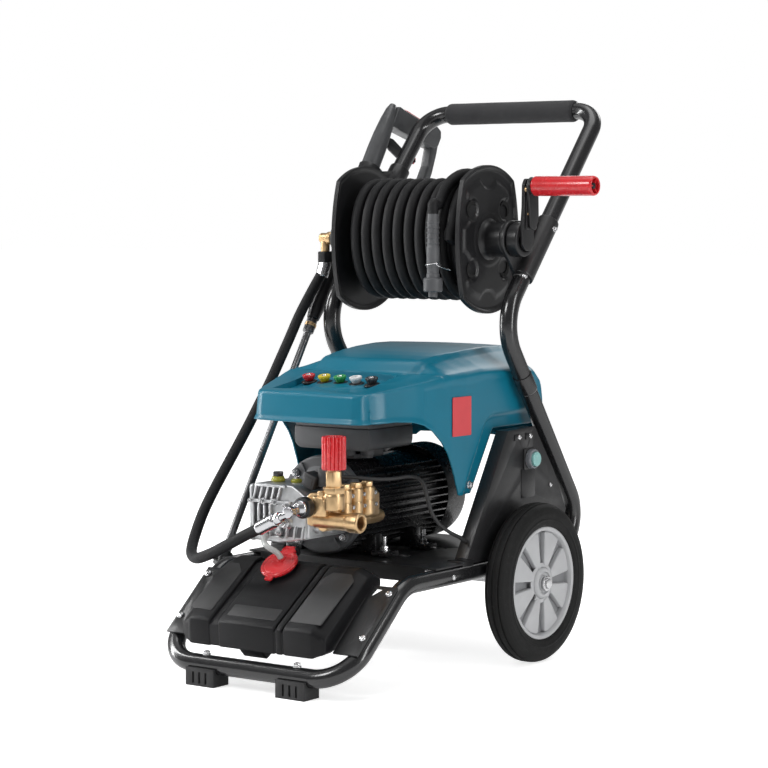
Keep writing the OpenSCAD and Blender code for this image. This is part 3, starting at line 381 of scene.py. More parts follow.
def lathe(bm, profile, at=(0, 0, 0), axis=Z, steps=64, index=0, wobble=None):
    """Turns (radius, height) points about an axis. A radius of 0 closes an end; a profile whose
    ends are off the axis is closed into a ring. wobble(angle, height) scales the radius."""
    local, rings = bmesh.new(), []
    for r, h in profile:
        if r < 1e-6:
            rings.append([local.verts.new((0, 0, h))])
            continue
        ring = []
        for k in range(steps):
            a = 2 * math.pi * k / steps
            s = r * (wobble(a, h) if wobble else 1)
            ring.append(local.verts.new((s * math.cos(a), s * math.sin(a), h)))
        rings.append(ring)
    pairs = list(zip(rings, rings[1:]))
    if len(rings[0]) > 1 and len(rings[-1]) > 1:
        pairs.append((rings[-1], rings[0]))
    for a, b in pairs:
        for k in range(steps):
            j = (k + 1) % steps
            quad = [a[k], a[j], b[j], b[k]] if len(a) > 1 and len(b) > 1 else (
                [a[0], b[j], b[k]] if len(b) > 1 else [a[k], a[j], b[0]])
            local.faces.new(quad)
    merge(bm, local, axis_matrix(at, axis), index)


def soft_profile(points, r=1.0, steps=3):
    """A lathe profile with each inner corner rounded."""
    p = [Vector((a, b, 0)) for a, b in points]
    line = [p[0]]
    for a, b, c in zip(p, p[1:], p[2:]):
        cut = min(r, (b - a).length * 0.45, (c - b).length * 0.45)
        start, end = b + (a - b).normalized() * cut, b + (c - b).normalized() * cut
        for k in range(steps + 1):
            t = k / steps
            line.append(start * (1 - t) ** 2 + b * 2 * t * (1 - t) + end * t * t)
    line.append(p[-1])
    return [(max(0.0, q.x), q.y) for q in line]


def slab(bm, outline, low, high, matrix=Matrix.Identity(4), bevel=1.0, segments=2, index=0):
    """A flat outline extruded along Z from low to high, its edges rounded, moved by a matrix."""
    local = bmesh.new()
    base = local.faces.new([local.verts.new((x, y, low)) for x, y in outline])
    top = bmesh.ops.extrude_face_region(local, geom=[base])["geom"]
    for v in top:
        if isinstance(v, bmesh.types.BMVert):
            v.co.z = high
    bmesh.ops.recalc_face_normals(local, faces=local.faces)
    if bevel:
        edges = [e for e in local.edges if e.calc_face_angle(0) > math.radians(28)]
        bmesh.ops.bevel(local, geom=edges, offset=bevel, segments=segments, profile=0.5,
                        affect="EDGES", clamp_overlap=True)
    merge(bm, local, matrix, index)


def block(bm, low, high, bevel=1.0, matrix=Matrix.Identity(4), index=0):
    outline = [(low[0], low[1]), (high[0], low[1]), (high[0], high[1]), (low[0], high[1])]
    slab(bm, outline, low[2], high[2], matrix, bevel, index=index)


# Turns an outline drawn in (y, z) and extruded along x
SIDEWAYS = Matrix(((0, 0, 1, 0), (1, 0, 0, 0), (0, 1, 0, 0), (0, 0, 0, 1)))


def rounded(points, radii):
    """A closed 2D outline with rounded corners."""
    n, out = len(points), []
    for i in range(n):
        a, b, c = (Vector(points[(i + k) % n]).to_3d() for k in (-1, 0, 1))
        r = radii if isinstance(radii, (int, float)) else radii[i]
        u, w = (a - b).normalized(), (c - b).normalized()
        turn = math.pi - u.angle(w)
        cut = min(r * math.tan(turn / 2), (a - b).length * 0.48, (c - b).length * 0.48)
        steps = max(1, round(math.degrees(turn) / 12)) if r else 0
        if not steps:
            out.append((b.x, b.y))
            continue
        for k in range(steps + 1):
            t = k / steps
            q = (b + u * cut) * (1 - t) ** 2 + b * 2 * t * (1 - t) + (b + w * cut) * t * t
            out.append((q.x, q.y))
    return out


def bolt(bm, at, axis, r=3.2, socket=False):
    """A socket head, or a hexagon head on a washer; at is the middle of its underside."""
    if socket:
        lathe(bm, soft_profile([(0, 1), (r * 1.35, 1), (r * 1.35, 6), (r * 0.7, 6), (r * 0.7, 3),
                                (0, 3)], 0.5), at, axis, 24)
        return
    lathe(bm, soft_profile([(0, 0), (r * 2.1, 0), (r * 2.1, 1.2), (0, 1.2)], 0.4), at, axis, 32)
    slab(bm, hexagon(r * 1.75), 1.2, 1.2 + r * 1.3, axis_matrix(at, axis), 0.5)
    lathe(bm, soft_profile([(0, 1), (r, 1), (r, 2.2 + r * 1.3), (0, 2.2 + r * 1.3)], 0.4), at, axis, 20)


def screw_head(bm, at, axis, r=5.0):
    """A round slotted screw head."""
    lathe(bm, soft_profile([(0, 0), (r, 0), (r * 0.8, r * 0.5), (r * 0.3, r * 0.62), (0, r * 0.62)],
                           r * 0.3), at, axis, 28)
    block(bm, (-r * 0.75, -0.5, r * 0.5), (r * 0.75, 0.5, r * 0.68), 0.1, axis_matrix(at, axis), 1)


def dressed(node, material, bevel):
    """A cleaned copy of a CAD node's mesh with its sharp edges rounded, which stands for the node."""
    sharp = 30
    source = frame["nodes"][node]
    bm = bmesh.new()
    bm.from_mesh(source.data)
    bmesh.ops.remove_doubles(bm, verts=bm.verts, dist=2e-6)
    bmesh.ops.dissolve_degenerate(bm, edges=bm.edges, dist=1e-6)
    bmesh.ops.dissolve_limit(bm, angle_limit=math.radians(0.6), verts=bm.verts, edges=bm.edges,
                             delimit={"NORMAL"})
    edges = [e for e in bm.edges if len(e.link_faces) == 2
             and e.calc_face_angle(0) > math.radians(sharp)]
    bmesh.ops.bevel(bm, geom=edges, offset=bevel / 1000, segments=2, profile=0.5, affect="EDGES",
                    clamp_overlap=True)
    add_piece(node + "_skin", bm, material, source["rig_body"], (node,), sharp)


def paint(node, material):
    """A CAD node that shows as it is, in a better finish."""
    mesh = frame["nodes"][node].data
    mesh.materials.clear()
    mesh.materials.append(material)


# ---------------------------------------------------------------- the hose from pump to reel
HOSE_END = (-201, -6, 606)
HOSE_ROUTE = [(-21, -402, 234), (-43, -402, 224), (-65, -402, 213), (-87, -402, 202),
              (-108, -400, 192), (-129, -396, 184), (-149, -389, 178), (-168, -378, 177),
              (-184, -364, 182), (-197, -345, 193), (-207, -323, 211), (-214, -299, 235),
              (-219, -269, 264), (-222, -237, 295), (-224, -204, 328), (-225, -174, 360),
              (-225, -146, 393), (-224, -119, 427), (-223, -94, 462), (-220, -72, 497),
              (-216, -52, 532), (-210, -31, 566), HOSE_END]


def make_supply_hose():
    line = smooth_path(HOSE_ROUTE, 6)
    bm = bmesh.new()
    sweep(bm, line, HOSE_R, 32)
    hose = finish_mesh("supply_hose_rubber", bm, HOSE, "chassis", ("supply_hose",))


# ---------------------------------------------------------------- frame
JOINT = Vector((TUBE_X, 19, 448))
REAR_CORNER = Vector((TUBE_X, 230.7, RAIL_Z))
SHOULDER = Vector((TUBE_X, -41, 531))
HANDLE_CORNER = Vector((TUBE_X, 254, 869))
KNEE, BAR_Y, BAR_Z, WELD_Y = -303, -446, 31, 40
UP_TUBE = (JOINT - REAR_CORNER).normalized()
ALONG_HANDLE = (HANDLE_CORNER - SHOULDER).normalized()


def flip(points):
    return [Vector((-p[0], p[1], p[2])) for p in points]


def tube_at(z, side=1):
    p = SHOULDER + ALONG_HANDLE * ((z - SHOULDER.z) / ALONG_HANDLE.z)
    return Vector((side * p.x, p.y, p.z))


def make_frame():
    right = [Vector((TUBE_X, WELD_Y, RAIL_Z)), Vector((TUBE_X, KNEE, RAIL_Z)),
             Vector((TUBE_X, BAR_Y, BAR_Z))]
    bm = bmesh.new()
    sweep(bm, arc_path(right + flip(right)[::-1], [0, 70, 60, 60, 70, 0], 4), TUBE_R, 40)
    finish_mesh("front_frame_tube", bm, POWDER, "chassis", ("front_frame",))
    bm = bmesh.new()
    for side in (1, -1):
        line = [Vector((TUBE_X, WELD_Y, RAIL_Z)), REAR_CORNER, JOINT]
        if side < 0:
            line = flip(line)
        line = arc_path(line, [0, 60, 0], 4)
        sleeve = [line[-1] - (line[-1] - line[-2]).normalized() * d for d in (34, 0)]
        sweep(bm, line[:-1] + [sleeve[0]], TUBE_R, 40)
        lathe(bm, soft_profile([(0, 0), (13.8, 0), (15.5, 3), (15.5, 34), (14.1, 34), (14.1, 30),
                                (0, 30)], 0.7), sleeve[0], sleeve[1] - sleeve[0], 40)
    for side in (1, -1):        # weld beads where the rear tubes meet the rails
        at = (side * TUBE_X, WELD_Y, RAIL_Z)
        lathe(bm, soft_profile([(13.5, -2.6), (14.5, -1.6), (15.1, 0), (14.5, 1.6), (13.5, 2.6)], 0.6),
              at, Y, 60, wobble=lambda a, h: 1 + 0.006 * math.sin(24 * a))
    finish_mesh("rear_frame_tubes", bm, POWDER, "chassis", ("rear_tubes",))
    bm = bmesh.new()
    half = [JOINT - 28 * UP_TUBE, SHOULDER, HANDLE_CORNER]
    sweep(bm, arc_path(half + flip(half)[::-1], [0, 75, 45, 45, 75, 0], 4), TUBE_R, 40)
    finish_mesh("handle_bar_tube", bm, POWDER, "chassis", ("handle_tube",))
    make_grip()
    make_sheet_metal()


def make_grip():
    """The foam sleeve: a soft barrel whose ends are rolled in, slightly uneven along its length."""
    half, r = 125.5, 18.5
    profile = soft_profile([(14.05, -half), (r - 2.4, -half), (r - 0.4, -half + 4), (r - 0.3, -60),
                            (r - 0.4, 0), (r - 0.3, 60), (r - 0.4, half - 4), (r - 2.4, half),
                            (14.05, half)], 3, 5)
    dense = []
    for (r0, h0), (r1, h1) in zip(profile, profile[1:]):
        n = max(1, int(abs(h1 - h0) / 4))
        dense += [(r0 + (r1 - r0) * k / n, h0 + (h1 - h0) * k / n) for k in range(n)]
    dense.append(profile[-1])
    bm = bmesh.new()
    lathe(bm, dense, (0, 254, 869), X, 48,
          wobble=lambda a, h: 1 + 0.012 * (noise.noise(Vector((h / 28, a, 1.7))) - 0.15))
    finish_mesh("foam_grip", bm, FOAM, "chassis", ("handle_grip",))


PLATE_TOP = RAIL_Z + TUBE_R + 3.05
MOTOR_FEET = [(SHAFT_X + side * 83, y) for side in (-1, 1) for y in (-164, -60)]
PLATE_SCREWS = ((-2, 351), (30, 351))


def make_sheet_metal():
    for node, material, bevel, slot in (
            ("frame_brackets", SHEET, 0.5, "sheet_black"), ("base_plate", SHEET, 0.9, "sheet_black"),
            ("side_plate_left", SHEET, 0.9, "sheet_black"), ("side_plate_right", SHEET, 0.9, "sheet_black"),
            ("front_feet", RUBBER, 1.6, "rubber_black"), ("gun_holder", PLASTIC, 0.8, "sheet_black"),
            ("axle", ZINC, 0.6, "zinc_steel")):
        dressed(node, material, bevel)
    bm = bmesh.new()
    for side in (1, -1):        # saddle blocks that clamp the plate's foot to the rail
        x = side * TUBE_X
        block(bm, (x - 21, -158, RAIL_Z - 5), (x + 9, -128, PLATE_TOP + 3), 2)
        block(bm, (x - 8, -152, PLATE_TOP + 2), (x + 8, -134, PLATE_TOP + 6), 1.5)
    finish_mesh("plate_saddles", bm, SHEET, "chassis")
    bm = bmesh.new()
    for side in (1, -1):        # through-bolts on the rails and small screws on the side plates
        for y in (-190, 60):
            screw_head(bm, (side * (TUBE_X + TUBE_R - 0.4), y, RAIL_Z), side * X, 4.5)
        screw_head(bm, (side * 180, 92, 268), side * X, 4)
        bolt(bm, (side * 85, BAR_Y, BAR_Z + TUBE_R + 0.2), Z, 3.2)
        bolt(bm, (side * 155.2, -104, 284), side * X, 3.0)
    drop = Vector((0, BAR_Y - KNEE, BAR_Z - RAIL_Z)).normalized()
    rail_up = Vector((0, drop.z, -drop.y))
    for side in (1, -1):
        for s in (32, 118):
            at = Vector((side * TUBE_X, KNEE, RAIL_Z)) + s * drop + rail_up * (TUBE_R + 3.1)
            screw_head(bm, at, rail_up, 6.2)
    for x, y in MOTOR_FEET:
        at = (x, y, PLATE_TOP + 9)
        bolt(bm, at, Z, 4)
        lathe(bm, soft_profile([(0, 6), (3.6, 6), (3.6, 22), (0, 22)], 0.8), at, Z, 20)
    for y, z in PLATE_SCREWS:
        screw_head(bm, (181.2, y, z), X, 4.4)
    finish_mesh("frame_fasteners", bm, ZINC, "chassis", ("frame_bolts",))
    bm = bmesh.new()
    for y, z in PLATE_SCREWS:               # square pads behind the two upper screws
        block(bm, (180.0, y - 12, z - 5), (181.4, y + 4, z + 5), 0.5)
    block(bm, (180.0, 6, 254), (180.7, 46, 300), 0.5)       # blanking plate under the button
    finish_mesh("side_plate_trim", bm, PLASTIC, "chassis")


# ---------------------------------------------------------------- wheels
def make_wheel(side):
    body = "wheel_right" if side > 0 else "wheel_left"
    axis = side * X
    centre = (side * 211, 0, TYRE_R)
    # Tyre section as (radius, offset from the tread's middle): bead, sidewall, shoulder, tread
    half = [(88.5, 16), (92, 18.6), (100, 19.8), (108, 20), (114, 18.8), (118.5, 17), (121.5, 14),
            (123.2, 11.6), (123.2, 11.4), (121.6, 11.0), (121.6, 9.4), (124.2, 9.0), (124.8, 5.2),
            (124.9, 2.0), (123.0, 1.6), (123.0, 0.4)]
    profile = [(r, -h) for r, h in half] + [(r, h) for r, h in reversed(half)]
    bm = bmesh.new()
    lathe(bm, soft_profile(profile, 0.8, 2), centre, axis, 144)
    for s in (-1, 1):           # a raised ring on each sidewall
        lathe(bm, soft_profile([(97, s * 19.3), (98.5, s * 20.4), (100.5, s * 20.4),
                                (102, s * 19.6), (99.5, s * 18.5)], 0.5), centre, axis, 144)
    name = "tyre_right" if side > 0 else "tyre_left"
    finish_mesh(name + "_rubber", bm, TYRE, body, (name,))

    bm = bmesh.new()
    lathe(bm, soft_profile([(88.3, -16), (88.3, 16), (85.5, 16.5), (82.5, 15.5), (80.5, 9.5),
                            (80.5, -9), (82, -15), (85, -16.5)], 1.2), centre, axis, 120)
    # the web between the petals takes the second material, whose darker grey paints the shade of the recess
    lathe(bm, soft_profile([(8.06, -3), (81, -3), (81, 3), (8.06, 3)], 1), centre, axis, 96, 1)
    petal = rounded([(27, -6.2), (76.5, -21.5), (79.2, -12), (80.2, 0), (79.2, 12), (76.5, 21.5),
                     (27, 6.2)], [3, 7, 0, 0, 0, 7, 3])
    tilt = Matrix.Translation((80, 0, 0)) @ Matrix.Rotation(math.radians(2.2), 4, "Y") \
        @ Matrix.Translation((-80, 0, 0))
    petals = 8
    for k in range(petals):
        turn = axis_matrix(centre, axis) @ Matrix.Rotation(math.radians(360 / petals * k + 22.5), 4, "Z")
        slab(bm, petal, 2, 11.5, turn @ tilt, 1.8, 3)
        slab(bm, petal, -11, -2, turn, 1.5, 2)
    hub = [(8.06, -20.5), (20, -20.5), (23.5, -17), (25, -8), (25, 9), (24, 13.6), (21.5, 16.6),
           (17.6, 17.4), (17.2, 14.2), (12.4, 13.8), (12, 17.2), (8.06, 17.2)]
    lathe(bm, soft_profile(hub, 1.0), centre, axis, 72)
    lathe(bm, soft_profile([(25, 9.5), (31, 9.8), (31.5, 11.6), (25, 12.6)], 0.6), centre, axis, 72)
    name = "rim_right" if side > 0 else "rim_left"
    finish_mesh(name + "_moulding", bm, [RIM, RIM_PAINTED_SHADE], body, (name,))
    bm = bmesh.new()            # the valve-like plug beside the hub
    at = Vector(centre) + side * X * 11.8 + Vector((0, -0.75, -0.6)).normalized() * 30
    lathe(bm, soft_profile([(0, 0), (3.6, 0), (3.6, 2.2), (0, 2.6)], 0.6), at, axis, 24)
    finish_mesh(name + "_plug", bm, NOZZLE_BLACK, body)


# ---------------------------------------------------------------- hood
HOOD_X = 155.0
HOOD_FRONT, HOOD_BACK = -317.0, 140.0
CREST = [(-317, 432), (-200, 454), (-195, 456), (-188, 462), (-178, 470), (-168, 474), (-140, 478.5),
         (-110, 482), (-60, 485.5), (0, 488.5), (50, 488.5), (78, 487), (100, 479), (113, 462),
         (124, 430), (133, 385), (140, 345)]
SHOULDERS = [(-317, 431), (-250, 441), (-192, 449), (-150, 455), (-60, 460), (50, 459), (85, 452),
             (104, 437), (118, 410), (130, 375), (140, 338)]
HOOD_EDGE = [(-320, 388), (-300, 388), (-255, 390), (-225, 388), (-204, 382), (-186, 372), (-168, 355),
             (-154, 336), (-143, 312), (-134, 288), (-128, 269), (-88, 269), (-26, 366), (98, 366),
             (120, 350), (140, 343), (160, 343)]
PAD_HALF = [(-317, 84), (-196, 88), (-168, 92), (-110, 99), (-60, 106), (20, 110), (140, 108)]
PLAN_HALF = [(-317, 106), (-300, 111), (-280, 117), (-256, 125), (-222, 136), (-185, 146), (-148, 152.5),
             (-110, 155)]
TRAY_X, TRAY_FRONT, TRAY_BACK, TRAY_DEEP = 79.5, -296.0, -197.0, 9.6
TRAY_SLOPE = math.atan2(23, 119)


def table(rows, y):
    """A value read off a short table, with straight lines between its rows."""
    if y <= rows[0][0]:
        return rows[0][1]
    for (a, p), (b, q) in zip(rows, rows[1:]):
        if y <= b:
            return p + (q - p) * (y - a) / (b - a)
    return rows[-1][1]


def ease(t):
    t = max(0.0, min(1.0, t))
    return t * t * (3 - 2 * t)


def squeeze(x, y):
    """Narrows the hood towards its front, outside its straight middle with the nozzle tray."""
    straight = 85
    if abs(x) <= straight:
        return x
    share = (table(PLAN_HALF, y) - straight) / (HOOD_X - straight)
    return math.copysign(straight + (abs(x) - straight) * share, x)


def deck_z(x, y):
    """Height of the hood's top before its edges are rounded."""
    across = min(1.0, abs(x) / HOOD_X)
    pad_y = y - 30 * min(1.0, abs(x) / 100) ** 2 * ease((60 - y) / 160)
    crest, side = table(CREST, pad_y), table(SHOULDERS, y)
    half = table(PAD_HALF, y)
    if crest <= side + 3:
        return max(side, crest) + 1.5 * (1 - across ** 2)
    out = max(0.0, (abs(x) - half) / (HOOD_X - 3 - half))
    lip = 6.0 * ease((abs(x) - half + 2) / 7)
    height = crest - lip - (crest - lip - side) * (0.55 * min(1, out) + 0.45 * ease(out))
    return max(side, min(crest, height)) + 3.6 * (1 - across ** 2)


def tray_drop(x, y):
    inside = min(TRAY_X - abs(x), y - TRAY_FRONT, TRAY_BACK - y)
    return TRAY_DEEP * ease((inside + 0.6) / 1.6)


def fine(low, high, step, extra=()):
    n = max(1, round((high - low) / step))
    return sorted(set([round(low + (high - low) * k / n, 3) for k in range(n + 1)] + list(extra)))


def fillet(d, r):
    """How far a rounded edge has dropped at a distance d from the side."""
    return 0.0 if d >= r else r - math.sqrt(max(0.0, r * r - (r - d) ** 2))


def plan_corner(a, b, r):
    """Bends the square corner of the plan into a round one."""
    return a * math.sqrt(1 - b * b / (2 * r * r)), b * math.sqrt(1 - a * a / (2 * r * r))


STEP_A, STEP_B = Vector((-121, 262)), Vector((-52, 384))


def side_inset(y, z):
    """How far the side wall steps in round the side plate."""
    u = (STEP_B - STEP_A).normalized()
    ahead = (Vector((y, z)) - STEP_A).dot(Vector((u.y, -u.x)))
    below = 389 + 0.03 * y - z
    corner = min(ahead, below)
    if ahead < 16 and below < 16:
        corner = 16 - math.hypot(16 - max(ahead, -8), 16 - max(below, -8))
    return 7.0 * ease((corner + 1) / 7)


def make_hood():
    radius, plan_r, bow_r = 8.0, 34.0, 900
    near = [0, 0.25, 1.0, 2.2, 3.8, 5.8, 8.0]
    xs = fine(-HOOD_X + 8, HOOD_X - 8, 4.2, [s * (TRAY_X + d) for s in (-1, 1) for d in (-1, -0.4, .2, .6)])
    xs = sorted(set(xs + [s * (HOOD_X - d) for s in (-1, 1) for d in near]))
    ys = fine(HOOD_FRONT + 8, HOOD_BACK - 8, 3.6, [TRAY_FRONT - .6, TRAY_FRONT, TRAY_FRONT + .6,
                                                  TRAY_FRONT + 1, TRAY_BACK + .6, TRAY_BACK,
                                                  TRAY_BACK - .6, TRAY_BACK - 1])
    ys = sorted(set(ys + [HOOD_FRONT + d for d in near] + [HOOD_BACK - d for d in near]))
    bm = bmesh.new()
    grid = []
    for y in ys:
        row = []
        for x in xs:
            bow = bow_r - math.sqrt(bow_r ** 2 - x * x)
            px, py = x, y + bow * ease((-150 - y) / 142) - 8 * (x / HOOD_X) ** 2 * ease((y - 80) / 60)
            a = abs(x) - (HOOD_X - plan_r)
            for end, s in ((HOOD_FRONT, -1), (HOOD_BACK, 1)):
                b = (y - end) * s + plan_r
                if a > 0 and b > 0:
                    a2, b2 = plan_corner(a, b, plan_r)
                    px = math.copysign(HOOD_X - plan_r + a2, x)
                    py += s * (b2 - b)
            d = min(HOOD_X - abs(x), y - HOOD_FRONT, HOOD_BACK - y)
            z = deck_z(x, y) - fillet(d, radius) - tray_drop(x, y)
            row.append(bm.verts.new((squeeze(px, y), py, z)))
        grid.append(row)
    skin(bm, grid, closed=False)
    loop = grid[0][:-1] + [r[-1] for r in grid[:-1]] + grid[-1][:0:-1] + [r[0] for r in grid[:0:-1]]
    rings, levels = [loop], 26
    outward = []
    for i, v in enumerate(loop):
        along = loop[(i + 1) % len(loop)].co - loop[i - 1].co
        off = Vector((along.y, -along.x, 0)).normalized()
        outward.append(off if off.dot(Vector((v.co.x, v.co.y + 80, 0))) > 0 else -off)
    for k in range(1, levels + 1):
        ring = []
        for v, off in zip(loop, outward):
            y = v.co.y
            bottom = table(HOOD_EDGE, y)
            t = k / levels
            z = v.co.z + (bottom - v.co.z) * t
            inset = side_inset(y, z) if abs(v.co.x) > HOOD_X - 2 else 0.0
            groove = 1.1 * ease((v.co.z - z - 3) / 2) if y > -200 else 0.0
            x = v.co.x - math.copysign(inset + groove, v.co.x) * (abs(v.co.x) > HOOD_X - 30)
            flare = (3.0 * t + 3.2 * ease((9 - (z - bottom)) / 9)) * ease((-170 - y) / 60)
            ring.append(bm.verts.new(Vector((x, y, z)) + flare * off))
        rings.append(ring)
    skin(bm, rings)
    finish_mesh("hood_shell", bm, TEAL, "chassis", ("hood",), sharp=50, thickness=2.8)
    make_tray()
    bm = bmesh.new()            # a blank plate on the hood's side where a notice would be
    slab(bm, rounded([(-146, 361), (-99, 361), (-99, 421), (-146, 421)], 2), 154.6, 155.9,
         SIDEWAYS, 0.15, 1)
    for v in bm.verts:
        v.co.x += squeeze(HOOD_X, v.co.y) - HOOD_X
    finish_mesh("blank_red_plate", bm, LABEL, "chassis")


def tray_matrix(k):
    """Moves a nozzle drawn about +Z to its place in the row on the tray's sloping floor."""
    pitch, row_y, tray_depth = 30, -226, 10
    base = 433 + (row_y - HOOD_FRONT - 2) * math.tan(TRAY_SLOPE) - tray_depth
    return Matrix.Translation((pitch * k, row_y, base)) @ Matrix.Rotation(TRAY_SLOPE, 4, "X")


def make_tray():
    bm = bmesh.new()
    for k in range(-2, 3):
        m = tray_matrix(k)
        lathe(bm, soft_profile([(5.7, -8), (8.9, -8), (9, 0.1), (12.8, 0.3), (12.4, 2.4), (9.6, 3.6),
                                (7.4, 3.8), (5.7, 3.4)], 0.6), m.translation, m.to_3x3() @ Z, 40)
    finish_mesh("nozzle_seat_rings", bm, PLASTIC, "chassis", ("nozzle_seats",))
    tints = (("red", RED, "red_plastic"), ("yellow", YELLOW, "yellow_plastic"),
             ("green", GREEN, "green_plastic"), ("white", WHITE, "white_plastic"),
             ("black", NOZZLE_BLACK, "black_plastic"))
    for k, (tint, material, slot) in enumerate(tints):
        m = tray_matrix(k - 2)
        at, axis = m.translation, m.to_3x3() @ Z
        bm = bmesh.new()
        lathe(bm, soft_profile([(1.2, -11), (5.5, -11), (5.5, 4.0), (6.6, 4.4), (7.6, 6.6), (9.3, 9.2),
                                (9.5, 12.2), (8.9, 13.2), (6.6, 13.2), (5.6, 12.2), (1.2, 12.2)], 0.6),
              at, axis, 96, wobble=lambda a, h: 1 + (0.05 * math.cos(12 * a) if 5 < h < 13.2 else 0))
        lathe(bm, soft_profile([(1.1, 11), (4.4, 11), (4.4, 13.3), (3.2, 13.3), (2.6, 12.4),
                                (1.1, 12.4)], 0.4), at, axis, 32, 1)
        finish_mesh(f"nozzle_{tint}_tip", bm, [material, ZINC], f"tip_{tint}", (f"nozzle_{tint}",))


# ---------------------------------------------------------------- motor
def shaft_matrix(y):
    """+Z of a shape points back along the motor's shaft."""
    return Matrix.Translation((SHAFT_X, y, SHAFT_Z)) @ Matrix.Rotation(math.radians(-90), 4, "X")


def polar(r, degrees):
    return r * math.cos(math.radians(degrees)), r * math.sin(math.radians(degrees))


def hexagon(r):
    return [polar(r, 60 * k) for k in range(6)]


def make_motor():
    fins, root, tip = 40, 68, 77
    outline = []
    for k in range(fins):
        a = 360 / fins * k
        if abs(k - 30) <= 4:
            outline += [polar(root, a - 3), polar(root, a + 3)]
            continue
        outline += [polar(r, a + d) for r, d in ((root, -2.4), (tip, -0.8), (tip, 0.8), (root, 2.4))]
    bm = bmesh.new()
    slab(bm, outline, 0.3, 224.7, shaft_matrix(-205), 0.5, 2)
    for x, y in MOTOR_FEET:
        block(bm, (x - 16, y - 16, PLATE_TOP), (x + 16, y + 16, PLATE_TOP + 9), 2)
        inner = x - math.copysign(25, x - SHAFT_X)
        block(bm, (inner - 14, y - 9, PLATE_TOP + 3), (inner + 14, y + 9, PLATE_TOP + 34), 2)
    finish_mesh("motor_barrel", bm, MOTOR, "chassis", ("motor_housing",))

    bm = bmesh.new()
    lathe(bm, soft_profile([(10.1, -23), (44, -23), (50, -21), (60, -13), (74, -12), (77, -9), (77, -0.4),
                            (52, -0.4), (52, -6), (10.1, -6)], 2), (SHAFT_X, -205, SHAFT_Z), Y, 96)
    for k in range(12):
        if k % 3:
            turn = shaft_matrix(-205) @ Matrix.Rotation(math.radians(30 * k), 4, "Z")
            block(bm, (46, -1.6, -16.5), (74, 1.6, -11), 1, turn)
    for k in range(4):
        x, z = polar(66, 90 * k + 45)
        lathe(bm, soft_profile([(0, 0), (7.5, 0), (7.5, 6), (0, 6)], 1), (SHAFT_X + x, -217, SHAFT_Z + z),
              -Y, 28)
    finish_mesh("motor_front_bell", bm, BOX, "chassis", ("motor_end_bell",))
    bm = bmesh.new()
    for k in range(4):
        x, z = polar(66, 90 * k + 45)
        bolt(bm, (SHAFT_X + x, -223, SHAFT_Z + z), -Y, 2.4)
    finish_mesh("bell_bolts", bm, ZINC, "chassis")

    bm = bmesh.new()
    lathe(bm, soft_profile([(75, 20.3), (77, 20.3), (77, 68), (75.5, 73), (71, 76), (61, 76), (61, 74),
                            (69, 74), (74, 70), (75, 67)], 1.5), (SHAFT_X, 0, SHAFT_Z), Y, 96)
    lathe(bm, soft_profile([(0, 72.5), (21, 73.5), (22, 76), (0, 76)], 1), (SHAFT_X, 0, SHAFT_Z), Y, 64)
    for k in range(12):
        turn = shaft_matrix(0) @ Matrix.Rotation(math.radians(30 * k + 15), 4, "Z")
        wedge = [(20, -2.4), (63, -12.2), (63, 12.2), (20, 2.4)]
        slab(bm, wedge, 73.6, 75.9, turn, 0.5, 1)
    # painted shade: a black disc behind the grille stands for the shade inside the cowl
    lathe(bm, soft_profile([(0, 70), (73.6, 70), (73.6, 71), (0, 71)], 0.3), (SHAFT_X, 0, SHAFT_Z), Y, 64)
    for k in range(3):
        a = math.radians(120 * k + 30)
        out = Vector((math.cos(a), 0, math.sin(a)))
        lathe(bm, soft_profile([(0, 0), (4.2, 0), (3.4, 2), (0, 2.2)], 0.8),
              Vector((SHAFT_X, 30, SHAFT_Z)) + out * 74.9, out, 20)
    finish_mesh("motor_fan_cowl", bm, MOTOR, "chassis", ("fan_cowl",))

    bm = bmesh.new()
    floor, x0, x1, y0, y1 = 334, SHAFT_X - 73, SHAFT_X + 72, -190, -72
    lower = rounded([(x0, floor + 34), (x0, floor), (x1, floor), (x1, floor + 34)], [0, 26, 14, 0])
    slab(bm, lower, -y1, -y0, Matrix.Rotation(math.radians(90), 4, "X"), 1.5)
    block(bm, (x0 + 0.5, y0 + 0.5, floor + 34), (x1 - 0.5, y1 - 0.5, floor + 51), 3)
    block(bm, (SHAFT_X - 30, y0 + 20, floor - 15.4), (SHAFT_X + 30, y1 - 20, floor + 1), 2.5)
    block(bm, (x1 - 46, y0 + 6, floor - 9), (x1 - 42, y0 + 40, floor + 2), 1)
    lathe(bm, soft_profile([(0, -2), (11, -2), (11, 8), (8.5, 12), (8.5, 15), (0, 15)], 1),
          (SHAFT_X + 50, y0 + 26, floor + 3), -Z, 24)
    finish_mesh("motor_terminal_box", bm, BOX, "chassis", ("terminal_box",))
    paint("motor_stator", COPPER)
    paint("motor_rotor", IRON)


# ---------------------------------------------------------------- pump
CASE_X0, CASE_X1, CASE_Y0, CASE_Y1 = -94.0, 26.0, -330.0, -228.0
CYLINDER_Y = (-307.5, -279.0, -250.5)
CASE_BOSSES = ((-88, 266), (-66, 266), (-44, 266), (-22, 262), (-36, 220))
UPRIGHT = Matrix.Rotation(math.radians(90), 4, "X")     # draws (x, z) outlines, extruded along -Y


def make_pump():
    make_crankcase()
    make_pump_head()
    make_unloader()
    make_outlet()
    make_pressure_switch()
    paint("pump_crankshaft", IRON)
    paint("pump_plungers", CERAMIC)


